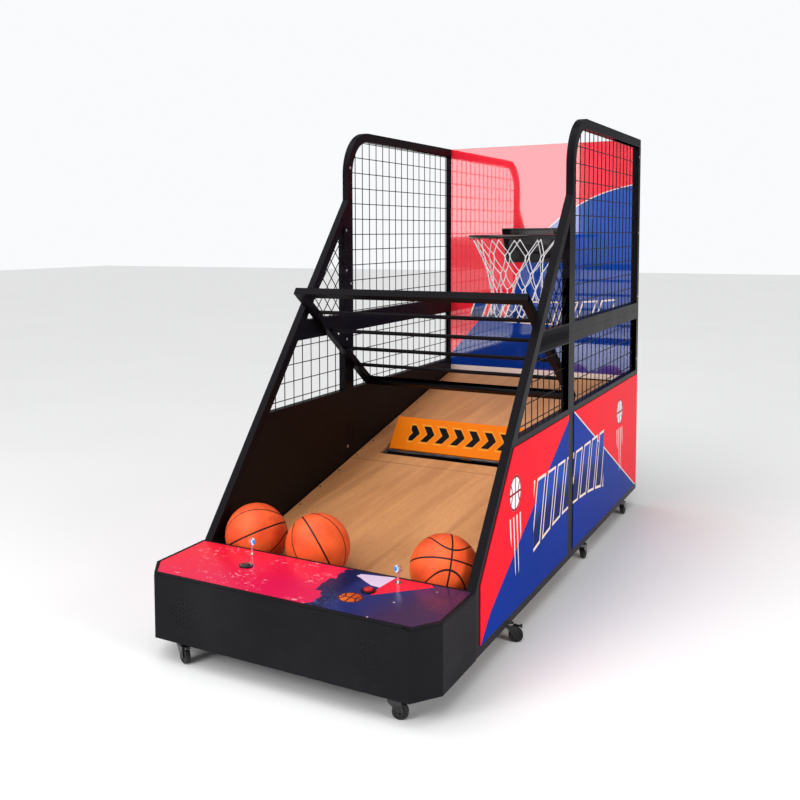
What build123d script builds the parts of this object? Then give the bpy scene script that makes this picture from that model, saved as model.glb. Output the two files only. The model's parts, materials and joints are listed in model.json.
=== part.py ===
"""Street basketball hoop machine: control box, two frame modules, ramp, ball gate, guard,
backboard with rim and net, casters and three balls.

Millimetres. X runs across the machine, Y from the player (front) to the backboard (rear),
Z up. Everything is laid out with Y counted from the front face and Z from the floor, and
export() moves it so that the origin lies at the bottom centre of the machine.
"""
from build123d import *
import math
import os

# ---------------------------------------------------------------- overall sizes
width = 1050.0              # over the printed side panels
length = 2630.0             # front face of the control box to the back of the rear posts
height = 1868.0             # floor to the top of the tall frames
ground_gap = 80.0           # floor to the underside of the frames

# ---------------------------------------------------------------- frame tubes
tube_x = 30.0               # tube width across the machine
tube_d = 40.0               # tube depth in the plane of the side frame
tube_wall = 2.0
print_t = 3.0               # printed acrylic side panel
box_depth = 353.0           # control box, front to back
split_y = 1401.0            # joint between the front and the rear module
slant_angle = 50.2          # front posts, from horizontal
slant_foot_z = 296.0        # where the slanted post leaves the short front post
panel_rail_top = 701.0
split_z = 1005.0            # joint between the lower and the upper frames
corner_radius = 200.0       # bent front corner of the tall frames

# ---------------------------------------------------------------- side panels and mesh
print_foot = 30.0           # bare frame left under the printed panels
print_edge = 38.0           # bare post left beside the module joint and at the front
print_rear_edge = 14.0
print_drop = 23.0           # top of the print below the top of the panel rail
sheet_t = 3.0               # black inner sheets
wire_d = 4.0
wire_pitch = 70.0
wire_least = 12.0           # no wire is shorter than this
diamond_pitch = 52.0

# ---------------------------------------------------------------- ramp and ball gate
ramp_angle = 11.9
ramp_foot_z = 164.0         # top of the ramp at the control box
ramp_t = 15.0
ramp_gap = 4.0              # ramp edge to the inside of the frames
rail_size = 20.0            # ramp support rail
gate_half = 372.0           # half width of the flap
gate_gap = 12.0             # flap end to the side of its opening
gate_mouth_y = 1480.0       # front edge of the opening
gate_axis_y = 1585.0
gate_axis_depth = 26.0      # hinge axis below the ramp surface
gate_reach = 165.0          # hinge axis to the free edge of the flap
gate_t = 10.0
gate_lift = 38.3            # how far the flap stands up from the ramp
shaft_r = 8.0
bearing_x = 404.0           # middle of the bearing blocks
run_gap = 0.05              # radial clearance of a running fit

# ---------------------------------------------------------------- backboard, rim and net
board_t = 12.0
board_foot_z = 640.0
rim_z = 1385.0
rim_y = 2270.0
rim_inner_r = 225.0
rim_rod_r = 9.0
rim_hooks = 12
hook_r = 2.5
hook_drop = 13.0
arm_x = 70.0                # arms from the ring to the mounting plate
arm_half = 15.0
rim_plate_half = 95.0
bracket_half = 170.0
bracket_t = 6.0
bracket_low_z = 1245.0
bracket_top_z = 1428.0
net_drop = 400.0
net_waist_drop = 290.0
net_waist_r = 124.0
net_foot_r = 128.0
net_t = 3.0

# ---------------------------------------------------------------- guard grille
guard_tube = 30.0
guard_top = (950.0, 1165.0)     # y, z of the top bar's centre
guard_foot = (1560.0, 722.0)
guard_rod_r = 8.0
guard_rods = 4

# ---------------------------------------------------------------- control box
chamfer_x = 65.0
chamfer_y = 92.0
sheet_metal = 2.0
lid_top_z = 298.0
lid_t = 3.0                 # lid sheet
lid_rim = 12.0              # black rim around the print
lid_gap = 0.5
lid_print_gap = 0.3
flange = 20.0               # inward top flange of the box
hinge_y = 3.0
hinge_z = 297.5
hinge_r = 2.5
pin_r = 1.2
leaf_t = 1.0
leaf_width = 24.0
hinge_half = 440.0
knuckles = 11
lock_x = 280.0
lock_y = 306.0
lock_barrel_r = 9.0
lock_plug_r = 5.0
key_head_r = 13.0
key_head_z = 343.0
cam_length = 36.0
button_x = 230.0
button_y = 197.0
bezel_r = 23.0
bezel_floor = 1.0
cap_r = 15.0
stem_r = 8.0
button_travel = 3.0
speaker_x = 339.0
speaker_z = 186.0
speaker_rings = 3
speaker_ring_pitch = 15.5
speaker_hole_r = 2.4
speaker_r = 52.0

# ---------------------------------------------------------------- mains inlet
inlet_x = 300.0
inlet_z = 220.0
inlet_w = 28.0
inlet_h = 48.0

# ---------------------------------------------------------------- casters
wheel_r = 25.0
wheel_width = 18.0
axle_r = 4.0
trail = 22.0
fork_gap = 2.0              # wheel side to fork cheek
fork_t = 2.5
fork_top_z = 57.0
race_r = 17.0
stem_bolt_r = 5.0
side_caster_y = (713.0, 1650.0, 2388.0)
box_caster_x = 387.0
box_caster_y = 48.0

# ---------------------------------------------------------------- balls
ball_r = 115.0
ball_wall = 3.5
ball_gap = 0.5
ball_x = {"ball_left": -372.0, "ball_middle": -112.0, "ball_right": 370.0}

# ---------------------------------------------------------------- worked-out places
frame_out = width / 2 - print_t             # outer face of the side frames
frame_in = frame_out - tube_x               # inner face of the side frames
slant = math.radians(slant_angle)
slope = math.radians(ramp_angle)
slant_rise = math.tan(slant)
post_drop = tube_d / math.cos(slant)        # slanted post, measured vertically
mid_post_y = split_y - tube_d
rear_post_y = length - tube_d
panel_rail_foot = panel_rail_top - tube_d
lid_bottom_z = lid_top_z - 2 * lid_t
shell_top_z = lid_bottom_z - lid_gap
fork_half = wheel_width / 2 + fork_gap


def slant_top(y):
    """Height of the slanted post's outer edge at y."""
    return slant_foot_z + (y - box_depth) * slant_rise


def slant_inner_y(z):
    """Where the slanted post's inner edge stands at height z."""
    return box_depth + (z - slant_foot_z + post_drop) / slant_rise


def ramp_z(y):
    """Height of the ramp's top surface at y."""
    return ramp_foot_z + (y - box_depth) * math.tan(slope)


# ---------------------------------------------------------------- helpers
def block(x0, x1, y0, y1, z0, z1):
    """Box between two corners."""
    centre = ((x0 + x1) / 2, (y0 + y1) / 2, (z0 + z1) / 2)
    return Pos(*centre) * Box(abs(x1 - x0), abs(y1 - y0), abs(z1 - z0))


def side_face(points):
    """Closed outline in (y, z), as a face in the local plane of a side."""
    return Polygon(*points, align=None)


def side_plate(face, x0, thickness):
    """Plate parallel to the machine's sides, from x0 towards +X."""
    return extrude(Plane.YZ.offset(x0) * face, amount=thickness, dir=(1, 0, 0))


def flat_plate(points, z0, thickness):
    """Horizontal plate with an (x, y) outline, from z0 upwards."""
    return extrude(Pos(0, 0, z0) * Polygon(*points, align=None), amount=thickness, dir=(0, 0, 1))


def upright(radius, x, y, z0, z1):
    """Vertical cylinder."""
    return Pos(x, y, (z0 + z1) / 2) * Cylinder(radius, z1 - z0)


def crosswise(radius, y, z, x0, x1):
    """Cylinder along X."""
    return Pos((x0 + x1) / 2, y, z) * Rot(0, 90, 0) * Cylinder(radius, x1 - x0)


def fore_and_aft(radius, x, z, y0, y1):
    """Cylinder along Y."""
    return Pos(x, (y0 + y1) / 2, z) * Rot(90, 0, 0) * Cylinder(radius, y1 - y0)


def other_side(shapes):
    """The same pieces on the other side of the machine."""
    return [mirror(shape, about=Plane.YZ) for shape in shapes]


def solids_of(shapes):
    """Flat list of the solids in a list of shapes."""
    return [solid for shape in shapes for solid in shape.solids()]


def cut_corners(end, direction, half_depth, cut):
    """The two corners of a tube's end, where cut is the direction of the end face."""
    normal = (-direction[1], direction[0])
    reach = half_depth / (cut[0] * normal[0] + cut[1] * normal[1])
    near = (end[0] + cut[0] * reach, end[1] + cut[1] * reach)
    far = (end[0] - cut[0] * reach, end[1] - cut[1] * reach)
    return near, far


def side_tube(start, end, start_cut=None, end_cut=None):
    """Straight tube of the right-hand side frame between two (y, z) points."""
    run = math.hypot(end[0] - start[0], end[1] - start[1])
    direction = ((end[0] - start[0]) / run, (end[1] - start[1]) / run)
    normal = (-direction[1], direction[0])
    a, b = cut_corners(start, direction, tube_d / 2, start_cut or normal)
    c, d = cut_corners(end, direction, tube_d / 2, end_cut or normal)
    body = side_plate(side_face([a, c, d, b]), frame_in, tube_x)
    middle = ((start[0] + end[0]) / 2, (start[1] + end[1]) / 2)
    tilt = math.degrees(math.atan2(direction[1], direction[0]))
    bore = Box(tube_x - 2 * tube_wall, run + 4 * tube_d, tube_d - 2 * tube_wall)
    place = Pos(frame_in + tube_x / 2, middle[0], middle[1]) * Rot(tilt, 0, 0)
    return body - place * bore


def cross_tube(y0, y1, z0, z1, half=None):
    """Tube across the machine, open at its ends."""
    half = half or frame_in
    body = block(-half, half, y0, y1, z0, z1)
    return body - block(-half, half, y0 + tube_wall, y1 - tube_wall, z0 + tube_wall, z1 - tube_wall)


# ---------------------------------------------------------------- casters
def caster_places():
    """Name, stem position and trail direction in degrees of each caster."""
    stem_x = frame_in + tube_x / 2
    places = [("box_left", -box_caster_x, box_caster_y, 335.0)]
    places.append(("box_right", box_caster_x, box_caster_y, 20.0))
    for label, y, turn in zip(("front", "middle", "rear"), side_caster_y, (20.0, 90.0, 90.0)):
        places.append((label + "_left", -stem_x, y, turn))
        places.append((label + "_right", stem_x, y, turn))
    return places


def caster_cheek(offset):
    """One cheek of the fork, in the caster's own frame with the trail along +X."""
    outline = [(-14, fork_top_z - fork_t), (26, fork_top_z - fork_t), (trail + 9, wheel_r + 2),
               (trail + 5, wheel_r - 8), (trail - 5, wheel_r - 8), (trail - 10, wheel_r + 2)]
    face = Plane.XZ.offset(-offset) * Polygon(*outline, align=None)
    cheek = extrude(face, amount=fork_t, dir=(0, 1, 0))
    return cheek - Pos(trail, offset, wheel_r) * Rot(90, 0, 0) * Cylinder(axle_r, 4 * fork_t)


def caster_fork():
    """Fork with its race, axle and brake pedal."""
    reach = fork_half + fork_t
    fork = block(-14, 26, -reach, reach, fork_top_z - fork_t, fork_top_z)
    fork += upright(race_r, 0, 0, fork_top_z, fork_top_z + 4.5)
    fork += caster_cheek(fork_half)
    fork += caster_cheek(-reach)
    fork -= upright(stem_bolt_r + run_gap, 0, 0, fork_top_z - 10, fork_top_z + 10)
    axle = Pos(trail, 0, wheel_r) * Rot(90, 0, 0) * Cylinder(axle_r, 2 * reach)
    pedal = block(26, 40, -8, 8, fork_top_z - fork_t, fork_top_z)
    pedal += block(38, 44, -9, 9, fork_top_z - 2 * fork_t, fork_top_z + fork_t)
    return [fork, axle, pedal]


def caster_wheel():
    """Wheel with a recessed hub and a running bore."""
    wheel = Cylinder(wheel_r, wheel_width)
    wheel = fillet(wheel.edges().filter_by(GeomType.CIRCLE), 3)
    for side in (-1, 1):
        recess = Cylinder(wheel_r - 7, 4) - Cylinder(axle_r + 4, 4)
        wheel -= Pos(0, 0, side * wheel_width / 2) * recess
    wheel -= Cylinder(axle_r + run_gap, wheel_width)
    return Pos(trail, 0, wheel_r) * Rot(90, 0, 0) * wheel


def caster_stem():
    """Threaded stem with its head, upper race and lock nut."""
    stem = upright(stem_bolt_r, 0, 0, fork_top_z - fork_t - 3, ground_gap + 15)
    stem += upright(stem_bolt_r + 2, 0, 0, fork_top_z - fork_t - 3, fork_top_z - fork_t - 0.3)
    stem += upright(race_r - 1, 0, 0, fork_top_z + 4.8, fork_top_z + 8)
    nut = extrude(Pos(0, 0, ground_gap - 8) * RegularPolygon(9, 6), amount=8)
    nut -= upright(stem_bolt_r, 0, 0, ground_gap - 9, ground_gap + 1)
    return [stem, nut]


def casters():
    """Nodes of all the casters."""
    nodes = {"caster_stems": []}
    for name, x, y, angle in caster_places():
        place = Pos(x, y, 0) * Rot(0, 0, angle)
        nodes["caster_fork_" + name] = [place * shape for shape in caster_fork()]
        nodes["caster_wheel_" + name] = [place * caster_wheel()]
        nodes["caster_stems"] += [place * shape for shape in caster_stem()]
    return nodes


def stem_holes():
    """Clearance holes for the caster stems."""
    holes = Part()
    for name, x, y, angle in caster_places():
        holes += upright(stem_bolt_r + 0.2, x, y, ground_gap - 2, ground_gap + tube_wall + 2)
    return holes


# ---------------------------------------------------------------- side frames
def front_frame():
    """Right-hand frame of the front module, with its small triangular upper frame."""
    along = (math.cos(slant), math.sin(slant))
    across = (math.sin(slant), -math.cos(slant))
    half = tube_d / 2
    low = ground_gap + half
    foot_inner_z = slant_foot_z - tube_d * (1 - math.sin(slant)) / math.cos(slant)
    mitre_run = math.hypot(tube_d, slant_foot_z - foot_inner_z)
    mitre = (tube_d / mitre_run, (foot_inner_z - slant_foot_z) / mitre_run)
    foot = (box_depth + half, (slant_foot_z + foot_inner_z) / 2)
    top_y = split_y
    top = (top_y, slant_top(top_y) - post_drop / 2)
    post_line_z = slant_top(mid_post_y + half) - post_drop
    rail_z = panel_rail_top - half
    tubes = [side_tube((box_depth + half, ground_gap), foot, end_cut=mitre)]
    tubes.append(side_tube(foot, top, start_cut=mitre, end_cut=(0, 1)))
    tubes.append(side_tube((mid_post_y + half, ground_gap), (mid_post_y + half, split_z)))
    tubes.append(side_tube((box_depth + tube_d, low), (mid_post_y, low)))
    for z in (rail_z, split_z - half, split_z + half):
        tubes.append(side_tube((slant_inner_y(z), z), (mid_post_y, z), start_cut=along))
    triangle_post = side_tube((mid_post_y + half, split_z), (mid_post_y + half, post_line_z), end_cut=along)
    return tubes + [triangle_post]


def rear_frame():
    """Right-hand lower frame of the rear module."""
    half = tube_d / 2
    tubes = []
    for y in (split_y + half, rear_post_y + half):
        tubes.append(side_tube((y, ground_gap), (y, split_z)))
    for z in (ground_gap + half, panel_rail_top - half, split_z - half):
        tubes.append(side_tube((split_y + tube_d, z), (rear_post_y, z)))
    return tubes


def bent_band(inset, overrun):
    """Outline of the bent front post and top rail, inset from its faces."""
    front = split_y + inset
    inner = split_y + tube_d - inset
    top = height - inset
    under = height - tube_d + inset
    outer_r = corner_radius - inset
    inner_r = corner_radius - tube_d + inset
    bend_y = split_y + corner_radius
    bend_z = height - corner_radius
    foot = split_z - overrun
    rear = length + overrun
    diagonal = math.sqrt(0.5)
    outer_mid = (bend_y - outer_r * diagonal, bend_z + outer_r * diagonal)
    inner_mid = (bend_y - inner_r * diagonal, bend_z + inner_r * diagonal)
    edges = [Line((front, foot), (front, bend_z))]
    edges.append(ThreePointArc((front, bend_z), outer_mid, (bend_y, top)))
    edges.append(Line((bend_y, top), (rear, top)))
    edges.append(Line((rear, top), (rear, under)))
    edges.append(Line((rear, under), (bend_y, under)))
    edges.append(ThreePointArc((bend_y, under), inner_mid, (inner, bend_z)))
    edges.append(Line((inner, bend_z), (inner, foot)))
    edges.append(Line((inner, foot), (front, foot)))
    return make_face(edges)


def tall_frame():
    """Right-hand upper frame of the rear module, with its bent front corner."""
    half = tube_d / 2
    bent = side_plate(bent_band(0, 0), frame_in, tube_x)
    bent -= side_plate(bent_band(tube_wall, 10), frame_in + tube_wall, tube_x - 2 * tube_wall)
    rail_z = split_z + half
    rail = side_tube((split_y + tube_d, rail_z), (rear_post_y, rail_z))
    rear_post = side_tube((rear_post_y + half, split_z), (rear_post_y + half, height - tube_d))
    return [bent, rail, rear_post]


# ---------------------------------------------------------------- panels and mesh
def front_print_outline():
    """Outline of the printed panel of the front module."""
    front = box_depth + print_edge
    foot = ground_gap + print_foot
    top = panel_rail_top - print_drop
    shift = 0.6 * tube_d / math.sin(slant)
    top_y = box_depth + (top - slant_foot_z) / slant_rise + shift
    knee_z = slant_foot_z + (front - shift - box_depth) * slant_rise
    rear = split_y - print_edge
    return [(front, foot), (rear, foot), (rear, top), (top_y, top), (front, knee_z)]


def rear_print_outline():
    """Outline of the printed panel of the rear module."""
    foot = ground_gap + print_foot
    top = panel_rail_top - print_drop
    front = split_y + print_edge
    rear = length - print_rear_edge
    return [(front, foot), (rear, foot), (rear, top), (front, top)]


def printed_panels():
    """Right-hand printed panels."""
    outlines = (front_print_outline(), rear_print_outline())
    return [side_plate(side_face(outline), frame_out, print_t) for outline in outlines]


def inner_sheets():
    """Black sheets between the tubes on both sides, and the sheet that closes the back."""
    foot = ground_gap + tube_d
    top = panel_rail_foot
    knee_z = slant_top(box_depth + tube_d) - post_drop
    front = [(box_depth + tube_d, foot), (mid_post_y, foot), (mid_post_y, top),
             (slant_inner_y(top), top), (box_depth + tube_d, knee_z)]
    rear = [(split_y + tube_d, foot), (rear_post_y, foot), (rear_post_y, top), (split_y + tube_d, top)]
    right = [side_plate(side_face(outline), frame_in, sheet_t) for outline in (front, rear)]
    back_y = length - sheet_t
    back = block(-frame_in, frame_in, back_y, length, foot, board_foot_z)
    back -= block(inlet_x - inlet_w / 2, inlet_x + inlet_w / 2, back_y, length, inlet_z - inlet_h / 2,
                  inlet_z + inlet_h / 2)
    return right + other_side(right) + [back]


def wire_grid(outline, pitch, turn=0.0):
    """Wires that fill an outline in two layers, each wire a bar of its own."""
    box = outline.bounding_box()
    centre_y = (box.min.X + box.max.X) / 2
    centre_z = (box.min.Y + box.max.Y) / 2
    reach = math.hypot(box.size.X, box.size.Y)
    count = int(reach / 2 / pitch) + 1
    middle_x = frame_in + tube_x / 2
    wires = []
    for layer_x, direction in ((middle_x - wire_d, 0.0), (middle_x, 90.0)):
        for step in range(-count, count + 1):
            strip = Pos((step + 0.5) * pitch, 0) * Rectangle(wire_d, 2 * reach)
            face = (Pos(centre_y, centre_z) * Rot(0, 0, turn + direction) * strip) & outline
            if face is not None and face.area > wire_least * wire_d:
                wires.append(side_plate(face, layer_x, wire_d))
    return wires


def mesh_panels():
    """Right-hand mesh panels: lower front, lower rear, small triangle and tall."""
    low = panel_rail_top
    high = split_z - tube_d
    front = side_face([(slant_inner_y(low), low), (mid_post_y, low), (mid_post_y, high),
                       (slant_inner_y(high), high)])
    rear = side_face([(split_y + tube_d, low), (rear_post_y, low), (rear_post_y, high),
                      (split_y + tube_d, high)])
    foot = split_z + tube_d
    apex = slant_top(mid_post_y) - post_drop
    triangle = side_face([(slant_inner_y(foot), foot), (mid_post_y, foot), (mid_post_y, apex)])
    inner_r = corner_radius - tube_d
    tall = Pos((split_y + tube_d + rear_post_y) / 2, (foot + height - tube_d) / 2) * Rectangle(
        rear_post_y - split_y - tube_d, height - tube_d - foot)
    corner = [vertex for vertex in tall.vertices() if vertex.X < split_y + 2 * tube_d and vertex.Y > foot + 1]
    tall = fillet(corner, inner_r)
    square = wire_grid(front, wire_pitch) + wire_grid(rear, wire_pitch) + wire_grid(tall, wire_pitch)
    return square + wire_grid(triangle, diamond_pitch, 45.0)


# ---------------------------------------------------------------- cross members and ramp
def ramp_slab(y0, y1, top_drop, thickness, x0, x1):
    """Sloping slab with vertical ends, top_drop under the ramp surface."""
    top = top_drop / math.cos(slope)
    foot = (top_drop + thickness) / math.cos(slope)
    outline = [(y0, ramp_z(y0) - foot), (y1, ramp_z(y1) - foot), (y1, ramp_z(y1) - top), (y0, ramp_z(y0) - top)]
    return side_plate(side_face(outline), x0, x1 - x0)


def cross_members():
    """Tubes across the machine and the rails that carry the ramp."""
    foot = ground_gap
    top = ground_gap + tube_d
    tubes = [cross_tube(y, y + tube_d, foot, top) for y in (box_depth, mid_post_y, split_y)]
    back_y = rear_post_y + board_t
    for z in (ground_gap, board_foot_z, split_z, height - tube_d):
        tubes.append(cross_tube(back_y, length - sheet_t, z, z + tube_d))
    rails = []
    for y0, y1 in ((box_depth, split_y), (split_y, rear_post_y)):
        rails.append(ramp_slab(y0, y1, ramp_t, rail_size, frame_in - rail_size, frame_in))
    return tubes + rails + other_side(rails)


def ramp_edge():
    """Half width of the ramp boards."""
    return frame_in - ramp_gap


def front_ramp_board():
    """Ramp board of the front module."""
    edge = ramp_edge()
    return [ramp_slab(box_depth + 1, split_y - 0.5, 0, ramp_t, -edge, edge)]


def gate_back_y():
    """Rear edge of the opening that the lowered flap fills."""
    return gate_axis_y + gate_reach * math.cos(slope) + 3.0


def rear_ramp_board():
    """Ramp board of the rear module, with the opening for the ball gate."""
    edge = ramp_edge()
    board = ramp_slab(split_y + 0.5, rear_post_y - 5, 0, ramp_t, -edge, edge)
    half = gate_half + gate_gap
    return [board - block(-half, half, gate_mouth_y, gate_back_y(), 0, height)]


def gate_place(lift):
    """Location of the gate's axis, turned so that the local Y axis lies along the flap."""
    axis_z = ramp_z(gate_axis_y) - gate_axis_depth / math.cos(slope)
    return Pos(0, gate_axis_y, axis_z) * Rot(ramp_angle + lift, 0, 0)


def gate_flap():
    """Flap that stands up to hold the balls back, with the blocks that clamp it to the shaft."""
    top = gate_axis_depth
    flap = block(-gate_half, gate_half, -5, gate_reach, top - gate_t, top)
    flap = fillet(flap.edges().filter_by(Axis.X), 2)
    blocks = []
    for x in (-300, 0, 300):
        clamp = block(x - 20, x + 20, -5, 15, -12, top - gate_t)
        blocks.append(clamp - crosswise(shaft_r, 0, 0, x - 21, x + 21))
    return [gate_place(gate_lift) * shape for shape in [flap] + blocks]


def gate_shaft():
    """Shaft of the ball gate, from the left bearing into the gear motor."""
    return [gate_place(0) * crosswise(shaft_r, 0, 0, -bearing_x - 12, bearing_x + 30)]


def gate_bearings():
    """Bearing blocks screwed under the ramp board."""
    blocks = []
    board_under = gate_axis_depth - ramp_t
    for x in (-bearing_x, bearing_x):
        housing = block(x - 10, x + 10, -22, 22, -16, board_under)
        blocks.append(gate_place(0) * (housing - crosswise(shaft_r + run_gap, 0, 0, x - 11, x + 11)))
    return blocks


def gate_motor():
    """Gear motor that raises and lowers the gate, hung under the ramp board."""
    board_under = gate_axis_depth - ramp_t
    x0 = bearing_x + 14
    x1 = frame_in - rail_size - 4
    gearbox = block(x0, x1, -30, 30, -40, board_under)
    gearbox -= crosswise(shaft_r + run_gap, 0, 0, x0 - 1, x0 + 18)
    motor = Pos((x0 + x1) / 2, 68, -14) * Rot(90, 0, 0) * Cylinder(21, 76)
    return [gate_place(0) * (gearbox + motor)]


# ---------------------------------------------------------------- backboard, rim and net
def backboard():
    """Printed panel behind the rim, between the rear posts."""
    edge = frame_in - 1
    return [block(-edge, edge, rear_post_y, rear_post_y + board_t, board_foot_z, height - 2)]


def rim_plate_y():
    """Front face of the rim's mounting plate."""
    return rear_post_y - 2 * bracket_t


def hoop_rim():
    """Rim with its net hooks, two arms and mounting plate."""
    ring_r = rim_inner_r + rim_rod_r
    centre = Pos(0, rim_y, rim_z)
    rim = centre * Torus(ring_r, rim_rod_r)
    hook_top = -rim_rod_r / 2
    for hook in range(rim_hooks):
        turn = (hook + 0.5) * 360 / rim_hooks
        tab = block(ring_r - hook_r, ring_r + hook_r, -hook_r, hook_r, hook_top - hook_drop, hook_top)
        rim += centre * Rot(0, 0, turn) * tab
    arm_y = rim_y + math.sqrt(ring_r ** 2 - arm_x ** 2)
    for x in (-arm_x, arm_x):
        rim += block(x - arm_half, x + arm_half, arm_y, rim_plate_y() + 1, rim_z - 4, rim_z + 4)
    rim += block(-rim_plate_half, rim_plate_half, rim_plate_y(), rim_plate_y() + bracket_t, rim_z - 45, rim_z + 30)
    return [rim]


def rim_bracket():
    """Steel bracket on the backboard: back plate, top cover and two gussets."""
    back_y = rear_post_y
    plate_y = back_y - bracket_t
    cover_y = rim_y + rim_inner_r + 2 * rim_rod_r + 4
    bracket = block(-bracket_half, bracket_half, plate_y, back_y, bracket_low_z, bracket_top_z)
    bracket += block(-bracket_half, bracket_half, cover_y, plate_y + 1, bracket_top_z - bracket_t, bracket_top_z)
    gusset = [(plate_y, bracket_low_z + 30), (plate_y, bracket_top_z), (cover_y, bracket_top_z),
              (cover_y, bracket_top_z - 14)]
    for x0 in (-bracket_half, bracket_half - bracket_t):
        bracket += side_plate(side_face(gusset), x0, bracket_t)
    return [bracket]


def net():
    """Net as a thin open sleeve; its cords follow the same outline."""
    top_z = rim_z - rim_rod_r - 9
    waist_z = rim_z - net_waist_drop
    foot_z = rim_z - net_drop
    line = [(rim_inner_r, top_z), (net_waist_r + 22, waist_z + 110), (net_waist_r, waist_z), (net_foot_r, foot_z)]
    outline = line + [(r + net_t, z) for r, z in reversed(line)]
    face = Plane.XZ * Polygon(*outline, align=None)
    return [Pos(0, rim_y, 0) * revolve(face, Axis.Z, 360)]


def hoop_sensor():
    """Ball sensor under the rim, on the bracket's back plate."""
    plate_y = rear_post_y - bracket_t
    return [block(-22, 22, plate_y - 26, plate_y, bracket_low_z + 8, bracket_low_z + 48)]


# ---------------------------------------------------------------- guard grille
def guard_grille():
    """Welded grille between the front posts: two bars, two sides and round rods."""
    run = math.hypot(guard_foot[0] - guard_top[0], guard_foot[1] - guard_top[1])
    tilt = math.degrees(math.atan2(guard_foot[1] - guard_top[1], guard_foot[0] - guard_top[0]))
    place = Pos(0, guard_top[0], guard_top[1]) * Rot(tilt, 0, 0)
    half = guard_tube / 2
    bore = half - tube_wall
    pieces = []
    for y in (0, run):
        bar = block(-frame_in, frame_in, y - half, y + half, -half, half)
        pieces.append(bar - block(-frame_in, frame_in, y - bore, y + bore, -bore, bore))
    for x in (-frame_in + half, frame_in - half):
        bar = block(x - half, x + half, half, run - half, -half, half)
        pieces.append(bar - block(x - bore, x + bore, half, run - half, -bore, bore))
    inner = frame_in - guard_tube
    for rod in range(guard_rods):
        y = run * (rod + 1) / (guard_rods + 1)
        pieces.append(crosswise(guard_rod_r, y, 0, -inner, inner))
    return [place * piece for piece in pieces]


# ---------------------------------------------------------------- control box
def box_outline(inset):
    """Outline of the control box in (x, y), inset from its faces."""
    half = width / 2 - inset
    chamfer = math.hypot(chamfer_x, chamfer_y)
    back = inset * (chamfer - chamfer_y) / chamfer_x
    side = inset * (chamfer - chamfer_x) / chamfer_y
    front_x = width / 2 - chamfer_x - back
    side_y = chamfer_y + side
    rear = box_depth - inset
    return [(-front_x, inset), (front_x, inset), (half, side_y), (half, rear), (-half, rear), (-half, side_y)]


def grille_holes(x):
    """Holes of one speaker grille through the front wall."""
    holes = fore_and_aft(speaker_hole_r, x, speaker_z, -1, sheet_metal + 1)
    for ring in range(1, speaker_rings + 1):
        for step in range(6 * ring):
            turn = math.radians(360 * (step + 0.5 * (ring % 2)) / (6 * ring))
            radius = ring * speaker_ring_pitch
            place = (x + radius * math.cos(turn), speaker_z + radius * math.sin(turn))
            holes += fore_and_aft(speaker_hole_r, place[0], place[1], -1, sheet_metal + 1)
    return holes


def control_box_shell():
    """Folded sheet-metal box with chamfered corners, floor, top flange and lock strikes."""
    inner = box_outline(sheet_metal)
    tall = shell_top_z - ground_gap
    shell = flat_plate(box_outline(0), ground_gap, tall)
    shell -= flat_plate(inner, ground_gap + sheet_metal, tall - 2 * sheet_metal)
    shell -= flat_plate(box_outline(sheet_metal + flange), shell_top_z - 2 * sheet_metal, 3 * sheet_metal)
    front_x = width / 2 - chamfer_x - 5
    shell += block(-front_x, front_x, 0, sheet_metal, shell_top_z - 1, hinge_z - hinge_r)
    slot_x = hinge_half + 5
    shell -= block(-slot_x, slot_x, sheet_metal, 2 * sheet_metal + flange + 1, shell_top_z - sheet_metal, lid_top_z)
    for x in (-lock_x, lock_x):
        shell += block(x - 20, x + 20, box_depth - sheet_metal - 16, box_depth - 1, 276, 278)
    for x in (-speaker_x, speaker_x):
        shell -= grille_holes(x)
    return [shell - stem_holes()]


def lid_openings():
    """Holes in the lid and its print for the locks and the buttons."""
    holes = Part()
    for x in (-lock_x, lock_x):
        holes += upright(lock_barrel_r, x, lock_y, lid_bottom_z - 1, lid_top_z + 1)
    for x in (-button_x, button_x):
        holes += upright(cap_r, x, button_y, lid_bottom_z - 1, lid_top_z + 1)
    return holes


def lid_outline(inset):
    """Outline of the lid, whose front edge stands behind the hinge."""
    front = hinge_y + hinge_r + leaf_t + 0.3 + inset
    outline = box_outline(inset)
    run = (outline[2][1] - outline[1][1]) / (outline[2][0] - outline[1][0])
    front_x = outline[1][0] + (front - outline[1][1]) / run
    return [(-front_x, front), (front_x, front)] + outline[2:]


def control_box_lid():
    """Lid sheet with a raised black rim."""
    lid = flat_plate(lid_outline(0), lid_bottom_z, 2 * lid_t)
    lid -= flat_plate(lid_outline(lid_rim), lid_bottom_z + lid_t, 2 * lid_t)
    return [lid - lid_openings()]


def lid_print():
    """Printed acrylic sheet inside the rim of the lid."""
    sheet = flat_plate(lid_outline(lid_rim + lid_print_gap), lid_bottom_z + lid_t, lid_t)
    return [sheet - lid_openings()]


def hinge_knuckles(first):
    """Every second knuckle of the lid hinge."""
    pitch = 2 * hinge_half / knuckles
    shapes = Part()
    for index in range(first, knuckles, 2):
        x0 = -hinge_half + index * pitch + 0.5
        shapes += crosswise(hinge_r, hinge_y, hinge_z, x0, x0 + pitch - 1)
    return shapes


def hinge_leaf(first, leaf):
    """A leaf with its knuckles; the leaf is notched beside the other leaf's knuckles."""
    pitch = 2 * hinge_half / knuckles
    for index in range(1 - first, knuckles, 2):
        x0 = -hinge_half + index * pitch
        leaf -= block(x0 - 0.5, x0 + pitch + 0.5, -5, hinge_y + 2 * hinge_r, hinge_z - 2 * hinge_r, hinge_z + 5)
    return leaf + hinge_knuckles(first)


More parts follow.
